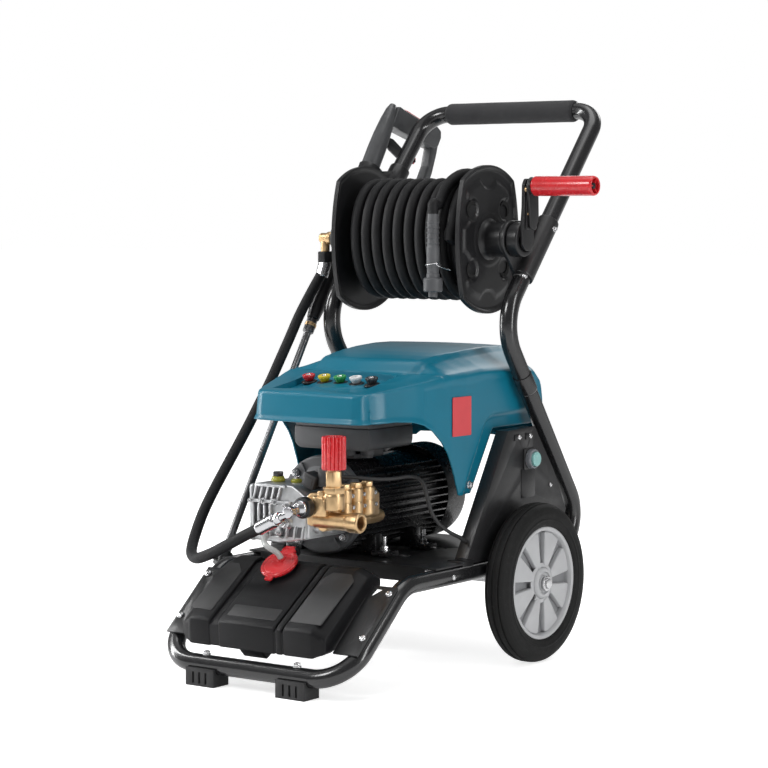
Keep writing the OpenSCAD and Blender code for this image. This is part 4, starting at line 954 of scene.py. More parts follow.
def make_crankcase():
    bm = bmesh.new()
    body = [(CASE_X0 + 5, 205), (-40, 203.5), (CASE_X1 - 14, 212), (CASE_X1 - 14, 276), (-14, 292),
            (-78, 293), (CASE_X0 + 5, 286)]
    slab(bm, rounded(body, [6, 4, 5, 6, 10, 8, 5]), -CASE_Y1 + 0.4, -CASE_Y0, UPRIGHT, 2.5, 3)
    for y in CYLINDER_Y:        # guide barrels that lead to the head
        lathe(bm, soft_profile([(0, 4), (14.6, 4), (14.6, 22), (16, 24), (16, 25.8), (0, 25.8)], 1),
              (0, y, 262), X, 40)
        lathe(bm, soft_profile([(0, 4), (9, 4), (9, 25.8), (0, 25.8)], 1), (0, y, 228), X, 32)
    block(bm, (CASE_X1 - 15, CASE_Y0 + 2, 214), (CASE_X1 - 9, CASE_Y1 - 2, 279), 2)
    for k in range(4):          # the low, upright ribs
        block(bm, (-88 + 11 * k, CASE_Y0 - 5.6, 214), (-83.6 + 11 * k, CASE_Y0 + 1, 263), 1.6)
    block(bm, (-90, CASE_Y0 - 5.8, 263), (-14, CASE_Y0 + 1, 268.5), 2)
    block(bm, (-90, CASE_Y0 - 4.0, 210), (-30, CASE_Y0 + 1, 214), 1.8)
    for k in range(5):          # the slanted upper ribs
        x = -84 + 11.5 * k
        slab(bm, [(x - 4, 267), (x, 267), (x + 6.4, 289), (x + 2.4, 289)], -CASE_Y0 - 1, -CASE_Y0 + 4.6,
             UPRIGHT, 1.2)
    block(bm, (-84, CASE_Y0 - 4, 287.5), (-24, CASE_Y0 + 2, 292), 1.8)
    for k in range(4):          # webs under the crosshead
        x = -42 + 15 * k
        slab(bm, [(x, 212), (x + 4, 212), (x + 8, 232), (x + 4, 232)], -CASE_Y0 - 1, -CASE_Y0 + 3,
             UPRIGHT, 1)
    for x, z in CASE_BOSSES:
        lathe(bm, soft_profile([(0, 0), (5.2, 0), (5.2, 5.4), (0, 5.4)], 1), (x, CASE_Y0 - 0.6, z), -Y, 24)
    lathe(bm, soft_profile([(0, 0), (12, 0), (9, 3), (9, 5.6), (0, 5.6)], 1), (-24, CASE_Y0, 236), -Y, 32)
    finish_mesh("pump_case_casting", bm, CAST, "chassis", ("pump_crankcase",))
    bm = bmesh.new()
    for k in range(3):          # painted shade: dark patches laid into the hollows between the ribs
        block(bm, (-83.4 + 11 * k, CASE_Y0 - 0.5, 215), (-77.4 + 11 * k, CASE_Y0 + 1, 262.5), 0.2)
    for k in range(4):
        x = -79 + 11.5 * k
        slab(bm, [(x - 4, 269.4), (x + 2, 269.4), (x + 7.6, 286.6), (x + 1.6, 286.6)], -CASE_Y0 - 1,
             -CASE_Y0 + 0.5, UPRIGHT, 0.2)
    for k in range(3):
        x = -37 + 15 * k
        slab(bm, [(x, 214), (x + 9, 214), (x + 13, 230), (x + 4, 230)], -CASE_Y0 - 1, -CASE_Y0 + 0.5,
             UPRIGHT, 0.2)
    finish_mesh("pump_case_painted_shade", bm, CAST_PAINTED_SHADE, "chassis")
    bm = bmesh.new()            # the light cover plate on the left end
    plate = rounded([(CASE_Y0 - 2.8, 203.5), (-230.5, 203.5), (-230.5, 290.5), (CASE_Y0 - 2.8, 290.5)], 7)
    slab(bm, plate, CASE_X0, CASE_X0 + 4.8, SIDEWAYS, 1.3)
    inner = rounded([(CASE_Y0 + 12, 218), (-244, 218), (-244, 276), (CASE_Y0 + 12, 276)], 8)
    slab(bm, inner, CASE_X0 - 1.2, CASE_X0 + 1, SIDEWAYS, 0.8)
    finish_mesh("pump_cover_plate", bm, CAST, "chassis", ("pump_rear_cover",))
    bm = bmesh.new()
    for y in (-324, -280, -236):
        for z in (210, 284):
            screw_head(bm, (CASE_X0 + 0.2, y, z), -X, 3.6)
    for x, z in CASE_BOSSES:
        bolt(bm, (x, CASE_Y0 - 5.8, z), -Y, 2.2, socket=True)
    bolt(bm, (-24, CASE_Y0 - 5.4, 236), -Y, 4.2)
    finish_mesh("pump_case_screws", bm, ZINC, "chassis")
    bm = bmesh.new()            # the filler cap with its black top, and a small breather
    lathe(bm, soft_profile([(0, 286), (5.9, 286), (5.9, 293.2), (11, 293.4), (11, 296.4), (9.2, 299),
                            (9.2, 301), (0, 301)], 0.8), (-64, -300, 0), Z, 40)
    slab(bm, hexagon(8.6), 300.6, 308, Matrix.Translation((-64, -300, 0)), 1, index=1)
    finish_mesh("oil_filler_cap", bm, [OLIVE, NOZZLE_BLACK], "chassis", ("oil_cap",))
    bm = bmesh.new()
    lathe(bm, soft_profile([(0, 0), (9, 0), (9, 4), (6.4, 6), (0, 6)], 0.8), (-36, -290, 292), Z, 32)
    slab(bm, hexagon(6), 5.4, 10.5, Matrix.Translation((-36, -290, 292)), 0.8, index=1)
    finish_mesh("pump_breather", bm, [OLIVE, ZINC], "chassis")


def make_pump_head():
    bm = bmesh.new()
    x0, x1, y0, y1, z0, z1 = 26.3, 68, -346, -218, 236, 286
    body = [(x0, z0 + 2), (x0 + 8, z0), (x1 - 6, z0), (x1, z0 + 8), (x1, 277), (x1 - 9, z1), (x0 + 6, z1),
            (x0, 280)]
    slab(bm, rounded(body, 3), -y1, -y0, UPRIGHT, 2.2, 3)
    for y in CYLINDER_Y:
        lathe(bm, soft_profile([(0, 246), (10, 246), (11, 249), (11, 268), (10.2, 269.6), (11, 271),
                                (11, 288), (10, 290), (9.2, 290.4), (0, 290.4)], 0.9), (68, y, 0), Z, 40)
        slab(bm, hexagon(9.6), 290, 298, Matrix.Translation((68, y, 0)), 1.2)
        block(bm, (56, y - 11, 262), (70, y + 11, 283), 2.4)
    for y in (-293.2, -264.8):
        block(bm, (60, y - 3, 240), (69.4, y + 3, 284), 1.6)
    gallery = [(0, -344), (10.2, -344), (11, -342), (11, -252), (12.4, -250), (12.4, -240), (11, -238),
               (11, -206), (9.4, -204), (9.4, -198), (6, -198), (6, -216), (0, -216)]
    lathe(bm, soft_profile(gallery, 0.9), (54, 0, 240), Y, 48)
    lathe(bm, soft_profile([(0, 40), (13, 40), (13, 98), (14, 99.5), (14, 101.5), (15, 103), (15, 120.4),
                            (13.4, 122), (10.6, 122), (9.2, 119), (9.2, 64), (0, 64)], 0.8),
          (0, -338, 246), X, 72, wobble=lambda a, h: 1 + (0.022 * math.cos(24 * a) if 104 < h < 120 else 0))
    lathe(bm, soft_profile([(0, 28), (15, 28), (15, 54), (12.5, 57), (0, 57)], 1.5), (0, -332, 262), X, 40)
    finish_mesh("pump_head_brass", bm, BRASS, "chassis", ("pump_head",))
    bm = bmesh.new()
    for y in (-321.8, -293.2, -264.8, -236.2):
        for z in (262, 279):
            bolt(bm, (69.5 if z < 270 else 68.2, y, z), X, 2.3, socket=True)
    for y in (-318, -236):
        bolt(bm, (46, y, 235.8), -Z, 2.6, socket=True)
    finish_mesh("pump_head_screws", bm, ZINC, "chassis", ("head_bolts",))


def make_unloader():
    x, y = 74, -342
    at = Matrix.Translation((x, y, 0))
    bm = bmesh.new()
    lathe(bm, soft_profile([(0, 262), (14, 262), (16, 264), (16, 284), (14.6, 287), (14.6, 290), (0, 290)],
                           1.2), (x, y, 0), Z, 56)
    slab(bm, rounded([polar(17.3, 60 * k + 15) for k in range(6)], 1), 288, 297, at, 1.6)
    slab(bm, hexagon(12.8), 296, 321, at, 1.2)
    lathe(bm, soft_profile([(0, 318), (10, 318), (10, 322.6), (6.9, 323), (6.9, 362), (0, 362)], 0.8),
          (x, y, 0), Z, 40)
    block(bm, (24, -356.8, 253), (70, -346.2, 279), 3)
    block(bm, (44, -358, 258), (66, -330, 283), 4)
    lathe(bm, soft_profile([(0, -366), (10.4, -366), (11, -364), (11, -356), (0, -356)], 0.8),
          (36, 0, 266), Y, 40)
    lathe(bm, soft_profile([(0, 0), (7, 0), (7, 8), (5.5, 9.5), (0, 9.5)], 0.8), (58, -350, 282), Z, 28)
    finish_mesh("unloader_valve_brass", bm, BRASS, "chassis", ("unloader_body",))
    ribs = 18
    bm = bmesh.new()
    outer = []
    for k in range(ribs * 8):
        a = 360 / (ribs * 8) * k
        lobe = abs(math.cos(math.radians(a * ribs / 2))) ** 0.7
        outer.append(polar(15.9 + 2.5 * lobe, a))
    rings = []
    for r, h in ((0.96, 323.2), (1, 325), (0.985, 348), (1, 370.4), (0.955, 372.6)):
        rings.append([bm.verts.new((x + r * px, y + r * py, h)) for px, py in outer])
    skin(bm, rings)
    bm.faces.new(rings[0][::-1])
    dish = [bm.verts.new((x + 0.72 * px, y + 0.72 * py, 372.9)) for px, py in outer]
    well = [bm.verts.new((x + 0.66 * px, y + 0.66 * py, 371.2)) for px, py in outer]
    skin(bm, [rings[-1], dish, well])
    bm.faces.new(well)
    finish_mesh("unloader_knob_red", bm, RED, "pressure_knob", ("unloader_knob",), sharp=50)


def make_outlet():
    bm = bmesh.new()
    lathe(bm, soft_profile([(11.1, -374), (13.5, -374), (16, -371.5), (16, -359.5), (14, -357.2),
                            (11.1, -357.2)], 1.2, 4), (36, 0, 266), Y, 72)
    finish_mesh("outlet_black_collar", bm, PLASTIC, "chassis", ("outlet_collar",))
    neck, corner, start = Vector((36, -366.4, 266)), Vector((36, -402, 262)), Vector((-21, -402, 234))
    away = (start - corner).normalized()
    bm = bmesh.new()
    sweep(bm, arc_path([neck, corner, corner + 30 * away], [0, 15, 0], 6), 6.5, 32)
    lathe(bm, soft_profile([(0, 367), (12.5, 367), (12.5, 377), (10.6, 380), (7, 384), (0, 384)], 1.5),
          (36, 0, 266), -Y, 48)
    lathe(bm, soft_profile([(0, -9), (8.2, -9), (9, -7), (9, 2), (7.6, 5), (0, 5)], 1.2),
          corner + Vector((0, 5, 0.4)), Y, 40)
    slab(bm, hexagon(9.6), 16, 27, axis_matrix(corner, away), 1.3)
    length = (start - corner).length
    lathe(bm, soft_profile([(0, 27), (9.4, 27), (11, 29.5), (11, length - 3), (10.2, length), (0, length)],
                           1), corner, away, 48)
    for h in (36, 43, 50):      # crimp rings
        lathe(bm, soft_profile([(10.4, h - 1), (11.05, h - 0.4), (11.05, h + 0.4), (10.4, h + 1)], 0.2),
              corner, away, 48)
    finish_mesh("outlet_elbow_chrome", bm, CHROME, "chassis", ("outlet_elbow",))


def make_pressure_switch():
    bm = bmesh.new()
    tilt = Matrix.Translation((-8, -318, 293)) @ Matrix.Rotation(math.radians(20), 4, "Y")
    block(bm, (0.5, 0.5, 0), (23.5, 25.5, 22), 2.2, tilt)
    block(bm, (4, -0.6, 5), (20, 1, 17), 0.8, tilt)
    block(bm, (20.3, -311.7, 290.2), (41.7, -272.3, 319.8), 3)
    block(bm, (24, -313, 296), (38, -311, 314), 1)
    lathe(bm, soft_profile([(0, 0), (5.5, 0), (5.5, 5), (4.4, 7), (0, 7)], 0.8), (39, -291, 306), X, 24)
    finish_mesh("pressure_switch_box", bm, PLATE_GREY, "chassis", ("pressure_switch",))


# ---------------------------------------------------------------- detergent tank
TANK_X, TANK_SLOPE = 134.0, math.radians(34)
CAP_AT = Vector((-20, -352, 173))
CAP = Matrix.Translation(CAP_AT) @ Matrix.Rotation(TANK_SLOPE, 4, "X")
SUCTION_ROUTE = [(-58, -337, 214), (-55, -346, 211), (-49, -354, 207), (-41, -359, 203), (-32, -361, 199),
                 (-25, -359, 196), (-21, -355, 191), (-20, -350, 184), (-20, -345, 177)]


def loft(bm, sections, bevel):
    """Side outlines (y, z), each at its x, joined into a closed block with rounded edges."""
    local = bmesh.new()
    rings = [[local.verts.new((x, y, z)) for y, z in outline] for x, outline in sections]
    skin(local, rings)
    local.faces.new(rings[0][::-1])
    local.faces.new(rings[-1])
    bmesh.ops.recalc_face_normals(local, faces=local.faces)
    edges = [e for e in local.edges if e.calc_face_angle(0) > math.radians(18)]
    bmesh.ops.bevel(local, geom=edges, offset=bevel, segments=3, profile=0.5, affect="EDGES",
                    clamp_overlap=True)
    merge(bm, local)


def tank_outline(drop, low=0.0):
    """The tank seen from the side, its sloping top lowered by drop and its front drawn in by low."""
    return [(-450 + low, 60 + low), (-452 + low, 98 - drop), (-446 + low, 104 - drop), (-340, 176 - drop),
            (-326, 179 - drop), (-306, 171 - drop), (-306, 160 - drop), (-352, 124), (-420, 62 + low)]


def make_tank():
    bm = bmesh.new()
    loft(bm, [(-TANK_X + 4, tank_outline(9, 6)), (-114, tank_outline(5, 1)), (114, tank_outline(5, 1)),
              (TANK_X - 4, tank_outline(9, 6))], 1.5)
    for spans in (((-TANK_X, 10, 9), (-114, 0, 0), (-76, 0, 0)), ((-59, 0, 0), (46, 0, 0)),
                  ((49, 1.6, 0), (60, 1.6, 0)), ((63, 0, 0), (114, 0, 0), (TANK_X, 10, 9))):
        loft(bm, [(x, tank_outline(drop, low)) for x, drop, low in spans], 2.2)
    chin = [(-449, 61), (-436, 48), (-400, 68), (-418, 66)]
    loft(bm, [(-22, chin), (22, chin)], 2)
    lathe(bm, soft_profile([(22, -16), (25, -16), (25, -0.6), (22, -0.6)], 0.6), CAP_AT, CAP.to_3x3() @ Z, 64)
    for side in (-1, 1):        # the lugs of the cap's hinge
        block(bm, (side * 12 - 2, 31, -6), (side * 12 + 2, 39, 8), 1.6, CAP)
    block(bm, (-13, 33.4, 2.4), (13, 36.6, 5.6), 1.5, CAP)
    finish_mesh("tank_shell", bm, TANK, "chassis", ("detergent_tank",))
    bm = bmesh.new()
    face = Matrix.Translation((0, -446, 104)) @ Matrix.Rotation(math.atan2(72, 106), 4, "X")
    left = [(-126, 12), (-84, 12), (-84, 98), (-100, 116), (-120, 116), (-126, 104)]
    right = [(66, 8), (70, 8), (124, 8), (124, 104), (112, 118), (78, 118), (66, 100)]
    for outline in (left, right):
        slab(bm, rounded(outline, 4), -0.4, 0.8, face, 0.35, 2)
    slab(bm, rounded([(-50, 6), (40, 6), (40, 30), (-50, 30)], 3), -0.4, 0.7, face, 0.3, 2)
    finish_mesh("tank_panels", bm, PLATE_GREY, "chassis")
    bm = bmesh.new()            # the black peg on the left plate
    lathe(bm, soft_profile([(0, 0), (4.4, 0), (4.4, 12), (3.2, 15), (0, 15)], 1), (-146, -352, 172), Z, 24)
    finish_mesh("rail_peg", bm, RUBBER, "chassis")
    make_tank_cap()


def make_tank_cap():
    bm = bmesh.new()
    profile = [(0, 0.3), (28.4, 0.3), (29.6, 1.6), (29.6, 4.6), (27.8, 6.4), (24.6, 6.6), (23.6, 5.8),
               (22.4, 6.2), (12, 7.0), (0, 7.2)]
    lathe(bm, soft_profile(profile, 0.7), CAP_AT, CAP.to_3x3() @ Z, 144,
          wobble=lambda a, h: 1 + (0.012 * math.cos(26 * a) if 0.8 < h < 5.8 else 0))
    tab = [(-11, 20), (11, 20), (12, 33), (9, 37), (-9, 37), (-12, 33)]
    slab(bm, rounded(tab, 3), 0.5, 7.0, CAP, 1.4, 3)
    slab(bm, rounded([(-7, -26), (7, -26), (6, -36), (-6, -36)], 2), 0.5, 4.2, CAP, 1, 2)
    for side in (-1, 1):
        lathe(bm, soft_profile([(2.2, -9), (3.7, -9), (3.7, -1), (2.2, -1)], 0.4),
              CAP @ Vector((5 + side * 4, 35, 4)), CAP.to_3x3() @ X, 28)
    lathe(bm, soft_profile([(4.6, 6.6), (7.4, 6.9), (7.0, 9.4), (4.6, 9.4)], 0.5),
          CAP @ Vector((0, 8, 0)), CAP.to_3x3() @ Z, 32)
    finish_mesh("tank_cap_red", bm, RED, "tank_cap", ("tank_cap",))


def make_suction_tube():
    """The clear tube from the pump down through the cap."""
    bm = bmesh.new()
    sweep(bm, smooth_path(SUCTION_ROUTE, 8), 4.4, 24)
    for v in bm.verts:
        v.co = place(v.co)
    tube = add_piece("suction_tube_clear", bm, CLEAR, None, ("suction_tube",))
    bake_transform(tube)


# ---------------------------------------------------------------- reel
FLANGE_R, FLANGE_W, FLANGE_ARC, FLANGE_X = 118.0, 86.0, 319.0, 124.0


def oval_r(a, r, half_w, side_r):
    """Radius at an angle from +Y of an outline that is round above and below, flatter each side."""
    c, s = math.cos(a), math.sin(a)
    reach = math.sqrt(max(0.0, side_r ** 2 - ((side_r - half_w) * s) ** 2))
    return min(r, reach - (side_r - half_w) * abs(c))


def flange_face(a, f):
    """How far the flange's outer face stands out, at an angle and a share of the way to the rim."""
    edge = oval_r(a, FLANGE_R, FLANGE_W, FLANGE_ARC)
    r = f * edge
    y, z = r * math.cos(a), r * math.sin(a)
    rim = ease((edge - r - 4) / 5)                  # 0 on the rim, 1 inside it
    height = 5.0 - 4.2 * rim
    plateau = ease((0.84 - f) / 0.10)
    for k in range(6):                              # round bites out of the raised field
        b = math.radians(60 * k + 90)
        reach = 0.90 * oval_r(b, FLANGE_R, FLANGE_W, FLANGE_ARC)
        near = math.hypot(y - reach * math.cos(b), z - reach * math.sin(b))
        plateau = min(plateau, ease((near - 24) / 5))
    height += 3.2 * plateau * rim
    height += 3.0 * ease((44 - r) / 10)             # flare at the foot of the hub
    for k in range(4):                              # the field dips to the crescent slots
        b = math.radians(90 * k + 45)
        near = math.hypot(y - 66 * math.cos(b), z - 66 * math.sin(b))
        height -= 3.4 * ease((19 - near) / 5) * plateau * rim
    return height


def make_flange(side):
    """A moulded flange: a grid from the hub out to the rim, front and back, closed at both edges."""
    bm = bmesh.new()
    around, out = 288, 44
    centre = REEL_AT
    fronts, backs = [], []
    for j in range(out + 1):
        f = 0.12 + 0.88 * (j / out)
        front, back = [], []
        for k in range(around):
            a = 2 * math.pi * k / around
            r = f * oval_r(a, FLANGE_R, FLANGE_W, FLANGE_ARC)
            soft = 1.0 - 0.012 * (j == out)
            y, z = soft * r * math.cos(a), soft * r * math.sin(a)
            x = FLANGE_X - 8 + 3.0 + flange_face(a, f) - (0.8 if j == out else 0)
            x = max(x, FLANGE_X - 7)
            front.append(bm.verts.new(centre + Vector((side * min(x, FLANGE_X - 0.05), y, z))))
            lip = 2.0 * ease((f * 118 - 108) / 5)
            back.append(bm.verts.new(centre + Vector((side * (FLANGE_X - 6 - lip), y, z))))
        fronts.append(front)
        backs.append(back)
    skin(bm, fronts)
    skin(bm, backs)
    skin(bm, [fronts[-1], backs[-1]])
    skin(bm, [fronts[0], backs[0]])
    hub = [(12.2, 117), (36, 118), (33, 124), (29, 128), (27.5, 132), (27.5, 158.5), (26, 160.4),
           (20, 160.6), (20, 169.6), (12.2, 169.6)]
    lathe(bm, soft_profile(hub, 1.4), centre, side * X, 72)
    lathe(bm, soft_profile([(12.4, 118), (26, 118), (26, 121), (12.4, 121)], 0.5), centre, side * X, 48)
    return bm


def crescent():
    """Outline of a crescent slot, out along +X from the hub."""
    outer = [(66 + 13 * math.cos(a), 13 * math.sin(a)) for a in
             (math.radians(15 * k) for k in range(-7, 8))]
    inner = [(58.9 + 13.1 * math.cos(a), 13.1 * math.sin(a)) for a in
             (math.radians(14.7 * k) for k in range(4, -5, -1))]
    return outer + inner


def make_reel():
    bm = make_flange(1)
    merge(bm, make_flange(-1))
    finish_mesh("reel_flange_mouldings", bm, PLASTIC, "reel", ("reel_flanges",))
    bm = bmesh.new()
    outline = [(r * math.cos(a), r * math.sin(a)) for a, r in
               ((t, oval_r(t, 61.5, 43.5, 120)) for t in (math.radians(3 * k) for k in range(120)))]
    at = Matrix.Translation(REEL_AT) @ SIDEWAYS
    slab(bm, outline, -115.6, 115.6, at, 0.5)
    finish_mesh("reel_drum_core", bm, PLASTIC, "reel", ("reel_drum",))
    # painted shade: black crescent sheets on the flanges stand for the shade inside the slots
    bm = bmesh.new()
    for side in (1, -1):
        for k in range(4):
            turn = at @ Matrix.Rotation(math.radians(90 * k + 45), 4, "Z")
            x0, x1 = sorted((side * 119, side * 121.6))
            slab(bm, crescent(), x0, x1, turn, 0)
    finish_mesh("reel_flange_slot_painted_shade", bm, SLOT_PAINTED_SHADE, "reel")
    make_winding()
    make_reel_mounts()
    make_crank()


def turn_point(a, tall, deep, x):
    """A point of the winding: a is 0 at the top, a quarter turn at the front."""
    s, c = abs(math.sin(a)), abs(math.cos(a))
    r = ((s / deep) ** 2.15 + (c / tall) ** 2.15) ** (-1 / 2.15)
    return Vector((x, REEL_Y - r * math.sin(a), REEL_Z + r * math.cos(a)))


OUTER_TALL, OUTER_DEEP, OUTER_END, OUTER_TURNS = 88.6, 66.0, 99, 9.5
COUPLING_AT = Vector((76, -88, 0))


def wind(first, last, turns, tall, deep, seed, slack):
    """One layer of the winding, each turn a little off its even place."""
    steps = 48
    rng = random.Random(seed)
    drift = [rng.uniform(-1, 1) for _ in range(int(turns) + 3)]
    points = []
    for i in range(int(turns * steps) + 1):
        t = i / steps
        k = int(t)
        loose = drift[k] + (drift[k + 1] - drift[k]) * ease(t - k)
        lean = slack * math.sin(2 * math.pi * t + 0.6) * 0.9
        x = first + (last - first) * t / turns + slack * 0.7 * loose * ease(min(t, turns - t)) + lean
        points.append(turn_point(2 * math.pi * t - math.pi / 2, tall, deep, max(-106, min(106, x))))
    return points


def make_winding():
    inner = wind(105, -105, 12, 71.2, 53.2, 3, 0.0)
    outer = wind(-98, OUTER_END, OUTER_TURNS, OUTER_TALL, OUTER_DEEP, 8, 1.5)
    last = [turn_point(1.5 * math.pi + t * math.radians(150), OUTER_TALL + 15 * ease(t * 1.6),
                       OUTER_DEEP + 17 * ease(t * 1.2), OUTER_END - 23 * ease(t))
            for t in (k / 20 for k in range(1, 20))]      # the hose's end, lifting off the outer layer
    tail = [COUPLING_AT + Vector((0, 1, 716)), COUPLING_AT + 701 * Z, COUPLING_AT + 660 * Z]
    line = smooth_path(inner[::3] + outer[::3] + last[::3] + tail, 4)
    bm = bmesh.new()
    sweep(bm, line, HOSE_R, 20)
    finish_mesh("reel_hose_winding", bm, HOSE, "reel", ("reel_hose",), sharp=60)
    bm = bmesh.new()
    at = COUPLING_AT
    lathe(bm, soft_profile([(3.4, 571), (7, 571), (7, 579), (13, 579), (15, 581), (15, 599), (13.5, 601),
                            (10.4, 601.4), (10.4, 607), (9.4, 608), (9.4, 616), (10.2, 617), (10.2, 648),
                            (9.0, 651), (9.0, 690), (8.4, 701), (3.4, 701)], 0.7), at, Z, 80,
          wobble=lambda a, h: 1 + (0.030 * math.cos(20 * a) if 582 < h < 598 else 0))
    for h in (655, 663, 671, 679, 687):             # ribs of the bend guard
        lathe(bm, soft_profile([(8.4, h - 2), (10, h - 1.2), (10, h + 1.2), (8.4, h + 2)], 0.5), at, Z, 40)
    finish_mesh("hose_end_coupling", bm, BOX, "reel", ("hose_end_fitting",))
    bm = bmesh.new()            # the thin tie round the coupling and its neighbour
    ring = [at + Vector((12 * math.cos(a), 11.4 * math.sin(a), 622 + 2 * math.cos(a)))
            for a in (2 * math.pi * k / 28 for k in range(29))]
    sweep(bm, ring, 0.7, 8)
    sweep(bm, smooth_path([(86, -94, 622), (96, -92, 617), (108, -86, 613)], 6), 0.6, 8)
    finish_mesh("hose_tie", bm, ZINC, "reel")


def bracket_ear(side):
    """The middle of the ear below a reel bracket's clamp."""
    return tube_at(611, side) + Vector((0, -17, -8))


def make_reel_mounts():
    bm = bmesh.new()
    for side in (1, -1):
        low, high = tube_at(600, side), tube_at(688, side)
        axis = high - low
        lathe(bm, soft_profile([(14.1, 0), (17.2, 0), (17.5, 2), (17.5, axis.length - 2),
                                (17.2, axis.length), (14.1, axis.length)], 0.8), low, axis, 48)
        web = [(-22, 640), (low.y - 4, low.z - 4), (high.y - 2, high.z), (4, 690)]
        arc = [polar(30, a) for a in range(100, 236, 8)]
        outline = [(REEL_Y + y, REEL_Z + z) for y, z in arc] + [(low.y - 6, low.z - 2),
                                                                (high.y - 2, high.z)]
        x0, x1 = sorted((side * 161.2, side * 169))
        slab(bm, outline, x0 + 0.4, x1 - 0.4, SIDEWAYS, 1.4, 2)
        lathe(bm, soft_profile([(20.1, 161.2), (30, 161.2), (30, 168), (28, 169), (20.1, 169)], 1),
              REEL_AT, side * X, 64)
        slab(bm, web, x0 + 0.8, x1 - 0.8, SIDEWAYS, 1.2, 2)
        lathe(bm, soft_profile([(0, -8), (7, -8), (7, 8), (0, 8)], 1.2), bracket_ear(side), X, 28)
    finish_mesh("reel_bracket_clamps", bm, SHEET, "chassis", ("reel_brackets",))
    bm = bmesh.new()
    for side in (1, -1):
        bolt(bm, bracket_ear(side) + side * 8 * X, side * X, 2.6)
        bolt(bm, tube_at(676, side) + side * 17.2 * X, side * X, 2.2)
    finish_mesh("reel_bracket_bolts", bm, ZINC, "chassis")
    bm = bmesh.new()
    at = Vector((-200, REEL_Y, REEL_Z))
    lathe(bm, soft_profile([(0, -9), (7, -9), (8.5, -7), (8.5, 6), (10.6, 7), (10.6, 14), (9, 16), (6, 16),
                            (6, 45), (0, 45)], 1), at, X, 40)
    lathe(bm, soft_profile([(0, 636), (7.4, 636), (7.4, 656), (0, 660)], 1), (-200, REEL_Y, 0), Z, 32)
    slab(bm, hexagon(13.6), 620, 638, Matrix.Translation((-200, REEL_Y, 0)), 1.8, 3, 1)
    end, top = Vector(HOSE_END), Vector((-200, REEL_Y, 621.5))
    lathe(bm, soft_profile([(8.6, -10), (10, -10), (10.5, -8), (10.5, 13), (9.6, 15), (0, 15)], 0.8), end,
          top - end, 40, 2)
    finish_mesh("hose_swivel_joint", bm, [BRASS, PLASTIC, ZINC], "chassis", ("hose_swivel",))


CRANK_GRIP_AT = Vector((0, REEL_Y, 743))


def make_crank():
    at = Matrix.Translation(REEL_AT) @ SIDEWAYS
    bm = bmesh.new()
    lathe(bm, soft_profile([(12.2, 170.2), (25, 170.2), (27, 172.2), (27, 188), (25.5, 190.4),
                            (19, 190.6), (17, 186), (9.2, 185), (9.2, 172), (12.2, 172)], 1.2),
          REEL_AT, X, 72)
    leaf = [(-16, -8), (-8, -17), (8, -17), (16, -8), (16, 16), (12.5, 50), (11.5, 84), (7, 94), (-6, 95),
            (-12, 86), (-13, 50), (-17, 16)]
    slab(bm, rounded(leaf, 6), 190.7, 196.4, at, 1.2, 3)
    slab(bm, rounded([(-11, 16), (10, 16), (8, 74), (-8, 74)], 5), 196.2, 198.4, at, 0.8, 2)
    back = [(-4, 18), (12, 14), (20, 36), (19, 66), (12, 92), (2, 98), (-9, 93), (-12, 80), (-8, 60)]
    slab(bm, rounded(back, 6), 198.2, 202.9, at, 1.3, 3)
    lathe(bm, soft_profile([(0, 202), (13, 202), (13, 206), (5.0, 206.6), (5.0, 314), (0, 315)], 0.8),
          CRANK_GRIP_AT, X, 40)
    finish_mesh("crank_arm_leaves", bm, PLASTIC, "reel", ("crank_arm",))
    bm = bmesh.new()
    for y, z, r in ((-8, 78, 4.2), (-6, 40, 1.8)):
        lathe(bm, soft_profile([(0, 196), (r, 196), (r, 199.4), (r * 0.5, 199.6), (r * 0.5, 198.8),
                                (0, 198.8)], 0.3), (0, REEL_Y + y, REEL_Z + z), X, 28)
    finish_mesh("crank_screws", bm, BRASS, "reel")
    bm = bmesh.new()
    grip = [(5.1, 207.2), (13, 207.2), (15.5, 209.6), (15.4, 262), (15.5, 314), (13.8, 316.8), (12.2, 317),
            (11.4, 315), (11.2, 302), (5.1, 302)]
    lathe(bm, soft_profile(grip, 1), CRANK_GRIP_AT, X, 72)
    for k in range(3):
        a = math.radians(120 * k + 60)
        mid = CRANK_GRIP_AT + Vector((309, 8.4 * math.cos(a), 8.4 * math.sin(a)))
        turn = Matrix.Translation(mid) @ Matrix.Rotation(a, 4, "X")
        block(bm, (-7, -3.6, -0.8), (6, 3.6, 0.8), 0.4, turn)
    finish_mesh("crank_grip_red", bm, RED, "crank_grip", ("crank_grip",))


# ---------------------------------------------------------------- gun
GUN = Matrix.Translation((-208, -244, 182)) @ Matrix.Rotation(math.radians(57.6 - 90), 4, "X")
GUN_SIDE = GUN @ SIDEWAYS


def along_gun(bm, profile, index=0, steps=48, wobble=None, side=0.0):
    lathe(bm, soft_profile(profile, 0.9), GUN @ Vector((0, side, 0)), GUN.to_3x3() @ Z, steps, index, wobble)


